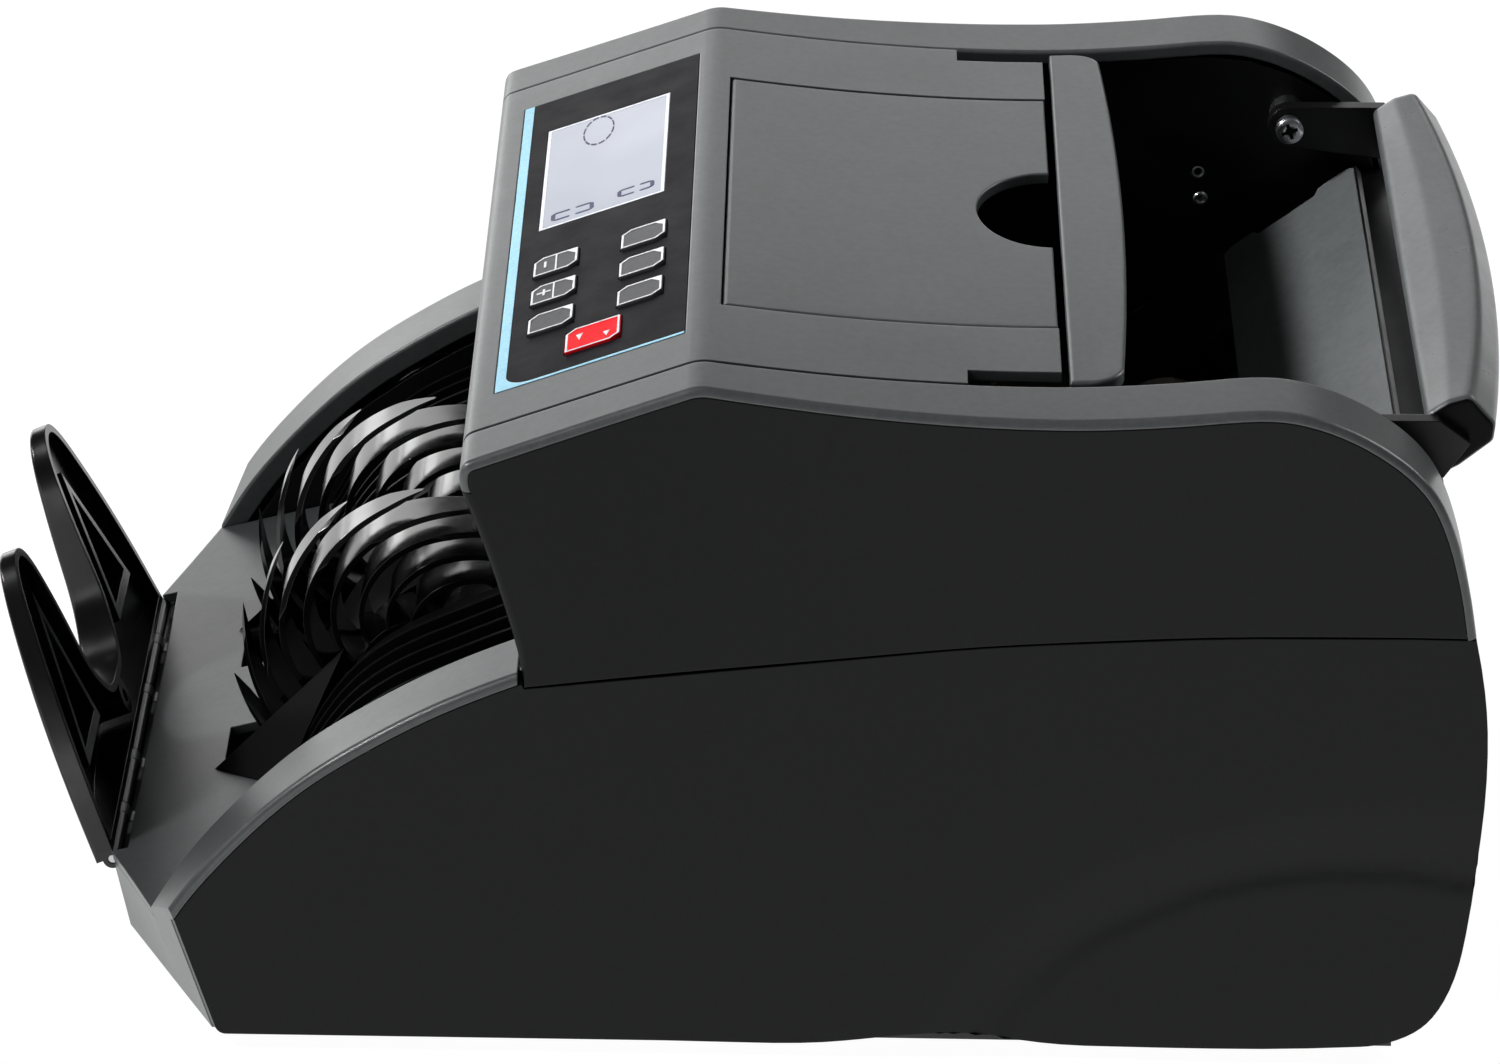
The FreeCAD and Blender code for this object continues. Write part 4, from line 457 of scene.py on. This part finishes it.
# keys: white line round each key, filled at the far corner, and the few plain signs
KEYS = {"key_count_mode": (20.0, -14.9), "key_auto": (37.4, -14.9), "key_add": (54.8, -14.9),
        "key_minus": (20.0, -35.9), "key_plus": (37.4, -35.9), "key_batch": (54.8, -35.9), "key_reset": (72.0, -25.4)}
for kname, (kx, kv) in KEYS.items():
    big = kname == "key_reset"
    hx, hv, c = (6.3, 6.4, 2.2) if big else (5.2, 5.3, 2.2)
    fill = 0.25 if big else 2.4
    base = [(kx - hx, kv - hv + c), (kx - hx + c, kv - hv), (kx + hx, kv - hv), (kx + hx, kv + hv - c),
            (kx + hx - c, kv + hv), (kx - hx + 0.3, kv + hv), (kx - hx, kv + hv - 0.3)]
    inner = [(kx - hx, kv - hv + c), (kx - hx + c, kv - hv), (kx + hx, kv - hv), (kx + hx, kv + hv - c),
             (kx + hx - c, kv + hv), (kx - hx + 0.3 + fill, kv + hv), (kx - hx, kv + hv - 0.3 - fill * 0.8)]
    acc = Acc()
    acc.ring(inset(base, 0.12), inset(inner, 0.62), panel, 0.4, 0.5 + INK)
    if kname in ("key_minus", "key_plus"):
        acc.prism([(kx - hx + 0.5, kv - 0.1), (kx + hx - 0.5, kv - 0.1), (kx + hx - 0.5, kv + 0.3),
                   (kx - hx + 0.5, kv + 0.3)], panel, 0.4, 0.5 + INK)
        gx, gv = (19.6, -38.4) if kname == "key_minus" else (36.9, -38.1)
        acc.prism(rounded(gx - 1.75, gx + 1.75, gv - 0.3, gv + 0.3, 0.28), panel, 0.4, 0.5 + INK)
        if kname == "key_plus":
            for s in (-1, 1):
                acc.prism(rounded(gx - 0.35, gx + 0.35, gv + (0.3 if s > 0 else -1.7), gv + (1.7 if s > 0 else -0.3), 0.2),
                          panel, 0.4, 0.5 + INK)
    if big:
        for tri in (((70.0, -29.3), (73.3, -28.5), (69.8, -27.7)), ((73.0, -22.9), (75.8, -22.1), (73.0, -21.4))):
            acc.prism(list(tri), panel, 0.4, 0.5 + INK)
    put(kname + "_print", acc, M_WHITE, body=kname + "_cap")

# gray sheet on the hopper ramp, narrowed where the arms stand
def on_ramp(a, b, c):
    return P(a, b - 0.602 * c, 128.0 + (b - 127.5) * 0.754 + 0.798 * c)


acc = Acc()
ys = [97.0, 98.5, 102.0, 104.0, 105.0, 111.5, 118.0, 119.0, 121.0, 124.0, 126.4, 127.2]
xs = [92.6, 94.4, 95.0, 94.6, 91.6, 91.4, 91.6, 94.6, 95.0, 95.0, 94.4, 92.6]
acc.prism([(x, y) for x, y in zip(xs, ys)] + [(-x, y) for x, y in reversed(list(zip(xs, ys)))], on_ramp, -0.05, 0.5)
put("ramp_sheet", acc, M_GREY_IN, width=0.18)

# rivets on the inner walls of the hopper
acc = Acc()
for sx in (-1, 1):
    acc.lathe([(0.02 * MM, -0.2 * MM), (1.8 * MM, -0.2 * MM), (1.8 * MM, 0.2 * MM), (1.5 * MM, 0.55 * MM), (1.05 * MM, 0.62 * MM),
               (0.8 * MM, 0.25 * MM), (0.02 * MM, 0.25 * MM)], P(sx * 107.3, 91.4, 114.2), (-sx, 0, 0), 28)
    acc.lathe([(1.0 * MM, -0.2 * MM), (1.5 * MM, -0.2 * MM), (1.45 * MM, 0.15 * MM), (1.1 * MM, 0.15 * MM)],
              P(sx * 107.3, 90.6, 121.0), (-sx, 0, 0), 24)
put("wall_rivets", acc, M_ZINC, smooth=False)

# crowned rims of the handle's pivot screws, with their cross recesses drawn as black crosses of painted shade
acc = Acc()
cross = Acc()
heads = [v.co for v in NODES["handle_pivot_screws"].data.vertices]
for sx in (-1, 1):
    side = [v for v in heads if sx * v.x > 0]
    x0 = min(sx * v.x for v in side) / MM
    face = [v for v in side if sx * v.x / MM < x0 + 0.05]
    cy = (min(v.y for v in face) + max(v.y for v in face)) / 2
    cz = (min(v.z for v in face) + max(v.z for v in face)) / 2
    rad = max(math.hypot(v.y - cy, v.z - cz) for v in face) / MM
    acc.lathe([(0.30 * rad * MM, -0.15 * MM), (0.97 * rad * MM, -0.15 * MM), (0.93 * rad * MM, 0.28 * MM), (0.72 * rad * MM, 0.55 * MM),
               (0.50 * rad * MM, 0.66 * MM), (0.30 * rad * MM, 0.62 * MM)], Vector((sx * x0 * MM, cy, cz)), (-sx, 0, 0), 36)

    def on_head(a, b, c):
        ca, sa = math.cos(0.35), math.sin(0.35)
        return Vector(((sx * (x0 - c)) * MM, cy + (a * ca - b * sa) * MM, cz + (a * sa + b * ca) * MM))
    # no recess is cut: a raised black cross on the zinc head is painted shade standing in for the hollow
    k, q = 0.60 * rad, 0.13 * rad
    cross.prism([(-k, -q), (-q, -q), (-q, -k), (q, -k), (q, -q), (k, -q), (k, q), (q, q), (q, k), (-q, k), (-q, q), (-k, q)],
                on_head, 0.0, 0.67)
put("pivot_screw_heads", acc, M_ZINC, smooth=True)
put("pivot_screw_recess_shade", cross, M_GUIDE)

# clamping collars that hold the stacker wheels on their shaft
acc = Acc()
scr = Acc()
for sx in (-1, 1):
    acc.lathe([(4.05 * MM, 0.0), (7.6 * MM, 0.0), (8.1 * MM, 0.5 * MM), (8.1 * MM, 5.4 * MM), (7.6 * MM, 5.9 * MM), (4.05 * MM, 5.9 * MM)],
              P(sx * 36.1, -90.6, 48.6), (sx, 0, 0), 40)
    for ang in (20.0, 200.0):
        d = Vector((0, math.cos(math.radians(ang)), math.sin(math.radians(ang))))
        scr.lathe([(0.55 * MM, 7.2 * MM), (1.9 * MM, 7.2 * MM), (1.9 * MM, 8.8 * MM), (1.5 * MM, 9.15 * MM), (0.8 * MM, 9.15 * MM), (0.55 * MM, 8.4 * MM)],
                  P(sx * 39.0, -90.6, 48.6), d, 20)
put("wheel_collars", acc, M_GUIDE, body="stacker", width=0.12)
put("collar_screws", scr, M_ZINC, body="stacker")

# contact blades of the mains inlet, marks of its switch, screws of the rear panel
acc = Acc()
for dx, dz in ((-7, -2.0), (7, -2.0), (0, 2.6)):
    x, z = -82.0 + dx, 34.0 + dz
    acc.prism([(x - 1.08, z - 2.28), (x + 1.08, z - 2.28), (x + 1.08, z + 2.28), (x - 1.08, z + 2.28)],
              lambda a, b, c: P(a, c, b), 127.1, 136.2)
    acc.add([P(x + i * f, y, z + j * g) for y, f, g in ((136.2, 1.08, 2.28), (137.0, 0.6, 1.7)) for i, j in ((-1, -1), (1, -1), (1, 1), (-1, 1))],
            [(4, 5, 6, 7), (0, 1, 5, 4), (1, 2, 6, 5), (2, 3, 7, 6), (3, 0, 4, 7), (3, 2, 1, 0)])
put("inlet_blades", acc, M_BRASS)


def on_rocker(side):
    d = Vector((8.0 * side, 1.4)).normalized()
    n = Vector((-1.4 * side, 8.0)).normalized()
    ca, sa = math.cos(math.radians(-9)), math.sin(math.radians(-9))

    def fn(a, b, c):
        x, y = d.x * a + n.x * c, 2.0 + d.y * a + n.y * c
        return P(-40.0 + x * ca - y * sa, 141.2 + x * sa + y * ca, 34.0 + b)
    return fn


acc = Acc()
cir = [(math.cos(2 * math.pi * k / 28), math.sin(2 * math.pi * k / 28)) for k in range(28)]
acc.ring([(4.4 + 1.7 * a, 1.7 * b) for a, b in cir], [(4.4 + 1.2 * a, 1.2 * b) for a, b in cir], on_rocker(1), -0.05, 0.07)
acc.prism(rounded(4.1, 4.7, -1.8, 1.8, 0.25), on_rocker(-1), -0.05, 0.07)
put("switch_marks", acc, M_WHITE, body="rocker")
acc = Acc()
for x in (-116.0, 116.0):
    for y, z, ty in ((141.55, 87.0, 0.10), (139.85, 30.4, -0.10)):
        acc.lathe([(0.9 * MM, -0.6 * MM), (3.2 * MM, -0.6 * MM), (3.2 * MM, 0.5 * MM), (2.5 * MM, 1.25 * MM), (1.5 * MM, 1.45 * MM),
                   (1.15 * MM, 0.5 * MM), (0.9 * MM, 0.5 * MM)], P(x, y, z), (0, 1, ty), 32)
put("rear_screws", acc, M_ZINC)

# lower sides: the moulded sweep that hollows the rear of each panel
OUTER = [(2.0, -6.0), (15.6, 11.6), (33.6, 32.5), (51.7, 47.1), (69.8, 55.5), (97.0, 63.1), (124.2, 67.6), (150.0, 68.6)]
INNER = [(33.0, -6.0), (41.5, 10.0), (47.8, 18.3), (55.9, 26.7), (63.1, 32.0), (74.0, 37.3), (84.0, 42.0), (97.6, 45.8),
         (111.3, 47.6), (127.8, 47.9), (150.0, 44.0)]


def poly_dist(p, line):
    """Distance to an open line, and whether the point lies on its lower right side."""
    best, side = 1e9, False
    for a, b in zip(line, line[1:]):
        ax, ay, bx, by = a[0], a[1], b[0], b[1]
        dx, dy = bx - ax, by - ay
        t = max(0.0, min(1.0, ((p[0] - ax) * dx + (p[1] - ay) * dy) / (dx * dx + dy * dy)))
        ex, ey = p[0] - ax - dx * t, p[1] - ay - dy * t
        d = math.hypot(ex, ey)
        if d < best:
            best, side = d, dx * ey - dy * ex < 0
    return best, side


def hollow(y, z):
    do, inside = poly_dist((y, z), OUTER)
    if not inside:
        return 0.0
    di, deep = poly_dist((y, z), INNER)
    if not deep:
        t = do / (do + di)
        return 1.9 * t * t * (3 - 2 * t) * (0.55 + 0.45 * t)
    t = min(1.0, di / 46.0)
    u = min(1.0, di / 5.0)
    return 1.9 - 1.75 * t * t * (3 - 2 * t) - 0.8 * u * u * (3 - 2 * u) * (1 - t)


def relief(node, sx):
    src = NODES[node].data
    bm = bmesh.new()
    bm.from_mesh(src)
    bmesh.ops.remove_doubles(bm, verts=bm.verts, dist=2e-6)
    bmesh.ops.dissolve_limit(bm, angle_limit=math.radians(1.0), verts=bm.verts, edges=bm.edges)
    bmesh.ops.triangulate(bm, faces=bm.faces)
    step = 1.6
    for k in range(int(150 / step) + 1):
        y = 1.0 + step * k
        if y < 146:
            bmesh.ops.bisect_plane(bm, geom=bm.verts[:] + bm.edges[:] + bm.faces[:], dist=1e-7, plane_co=P(0, y, 0), plane_no=(0, 1, 0))
    for k in range(int(72 / step)):
        bmesh.ops.bisect_plane(bm, geom=bm.verts[:] + bm.edges[:] + bm.faces[:], dist=1e-7, plane_co=P(0, 0, 4.4 + step * k), plane_no=(0, 0, 1))
    bmesh.ops.triangulate(bm, faces=[f for f in bm.faces if len(f.verts) > 4])
    for v in bm.verts:
        if sx * v.co.x > 127.4 * MM:
            v.co.x -= sx * MM * hollow((v.co.y - DY) / MM, v.co.z / MM)
    bmesh.ops.recalc_face_normals(bm, faces=bm.faces)
    for e in bm.edges:
        e.smooth = len(e.link_faces) == 2 and e.calc_face_angle(0.0) < math.radians(28)
    for f in bm.faces:
        f.smooth = True
    me = bpy.data.meshes.new(node + "_moulded")
    bm.to_mesh(me)
    bm.free()
    o = bpy.data.objects.new(node + "_moulded", me)
    bpy.context.scene.collection.objects.link(o)
    me.materials.append(M_SIDE)
    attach(o, "housing")
    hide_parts(node)


relief("lower_side_right", 1)
relief("lower_side_left", -1)


# inspection door with the relieved side edges that leave a dark seam on either side
def relieved(node, body, trim):
    src = NODES[node].data
    bm = bmesh.new()
    bm.from_mesh(src)
    bmesh.ops.remove_doubles(bm, verts=bm.verts, dist=2e-6)
    hi = max(abs(v.co.x) for v in bm.verts)
    for v in bm.verts:
        if abs(v.co.x) > hi - 1.6 * MM:
            v.co.x -= math.copysign(trim * MM, v.co.x)
    bmesh.ops.recalc_face_normals(bm, faces=bm.faces)
    for e in bm.edges:
        e.smooth = len(e.link_faces) == 2 and e.calc_face_angle(0.0) < math.radians(28)
    for f in bm.faces:
        f.smooth = True
    me = bpy.data.meshes.new(node + "_relieved")
    bm.to_mesh(me)
    bm.free()
    o = bpy.data.objects.new(node + "_relieved", me)
    bpy.context.scene.collection.objects.link(o)
    me.materials.append(M_GREY)
    wn = o.modifiers.new("normals", "WEIGHTED_NORMAL")
    wn.keep_sharp = True
    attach(o, body)
    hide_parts(node)


relieved("inspection_door", "inspection_lid", 0.45)


# ---------------------------------------------------------------- floor, light
def floor():
    s, n = 4.0, 24
    v, f = [], []
    for i in range(n + 1):
        for j in range(n + 1):
            v.append((-s + 2 * s * i / n, -s + 2 * s * j / n, 0.0))
    for i in range(n):
        for j in range(n):
            k = i * (n + 1) + j
            f.append((k, k + n + 1, k + n + 2, k + 1))
    me = bpy.data.meshes.new("floor")
    me.from_pydata(v, [], f)
    o = bpy.data.objects.new("floor", me)
    bpy.context.scene.collection.objects.link(o)
    t = Tree("floor_paper")
    n1 = t.noise(3.0, 2.0, 0.5)
    r = t.ramp(n1, "Fac", [(0.3, (0.10, 0.10, 0.10, 1)), (0.7, (0.12, 0.12, 0.12, 1))])
    t.link(r, "Color", t.b, "Base Color")
    t.b.inputs["Emission Color"].default_value = (1, 1, 1, 1)
    t.b.inputs["Emission Strength"].default_value = 0.97
    t.b.inputs["Roughness"].default_value = 0.9
    me.materials.append(t.m)


floor()


def area(name, loc, target, size, power, size_y=None, col=(1, 1, 1)):
    d = bpy.data.lights.new(name, "AREA")
    d.energy = power
    d.size = size
    d.color = col
    if size_y:
        d.shape = "RECTANGLE"
        d.size_y = size_y
    o = bpy.data.objects.new(name, d)
    bpy.context.scene.collection.objects.link(o)
    o.visible_camera = False
    o.location = loc
    o.rotation_mode = "QUATERNION"
    o.rotation_quaternion = (Vector(target) - Vector(loc)).to_track_quat("-Z", "Y")
    return o


def spot(name, loc, target, cone, power, radius):
    d = bpy.data.lights.new(name, "SPOT")
    d.energy = power
    d.spot_size = math.radians(cone)
    d.spot_blend = 1.0
    d.shadow_soft_size = radius
    o = bpy.data.objects.new(name, d)
    bpy.context.scene.collection.objects.link(o)
    o.visible_camera = False
    o.location = loc
    o.rotation_mode = "QUATERNION"
    o.rotation_quaternion = (Vector(target) - Vector(loc)).to_track_quat("-Z", "Y")
    return o


spot("key_high", (0.1, -1.35, 1.35), (-0.01, 0.10, 0.154), 15.5, 265, 0.22)
spot("key_front", (-0.56, -1.69, 0.76), (-0.03, 0.02, 0.165), 11.8, 40, 0.2)
area("far_panel", (-1.7, -0.45, 0.42), (0, -0.05, 0.1), 2.0, 6.6, 0.6)
area("far_low", (-1.7, -0.62, 0.17), (0, -0.09, 0.08), 1.1, 1.6, 0.34)
area("rear_soft", (-1.0, 1.3, 1.0), (0, 0, 0.1), 0.8, 10, 0.8)
area("near_low", (2.1, -1.4, 0.3), (0, 0.05, 0.05), 1.4, 5, 0.6)

w = bpy.data.worlds.new("studio")
bpy.context.scene.world = w
w.use_nodes = True
bg = w.node_tree.nodes.get("Background")
bg.inputs["Color"].default_value = (1.0, 1.0, 1.0, 1)
bg.inputs["Strength"].default_value = 0.06

# --------------------------------------------------------------------- camera
az, el, roll = math.radians(90.406), math.radians(23.229), math.radians(0.743)
dist = 1.85356
back = Vector((math.sin(az) * math.cos(el), -math.cos(az) * math.cos(el), math.sin(el)))
right = Vector((math.cos(az), math.sin(az), 0))
up = back.cross(right)
R = right * math.cos(roll) + up * math.sin(roll)
U = up * math.cos(roll) - right * math.sin(roll)
T = Vector((0, -0.01572 + DY, 0.07308 - 0.0025))
C = T + back * dist
cd = bpy.data.cameras.new("camera")
cd.sensor_fit = "HORIZONTAL"
cd.sensor_width = 36.0
cd.lens = 7999.3 * 36.0 / 1500.0
cd.clip_start, cd.clip_end = 0.05, 20.0
cam = bpy.data.objects.new("camera", cd)
bpy.context.scene.collection.objects.link(cam)
cam.matrix_world = Matrix(((R.x, U.x, back.x, C.x), (R.y, U.y, back.y, C.y), (R.z, U.z, back.z, C.z), (0, 0, 0, 1)))
bpy.context.scene.camera = cam
bpy.context.scene.view_settings.view_transform = "Standard"
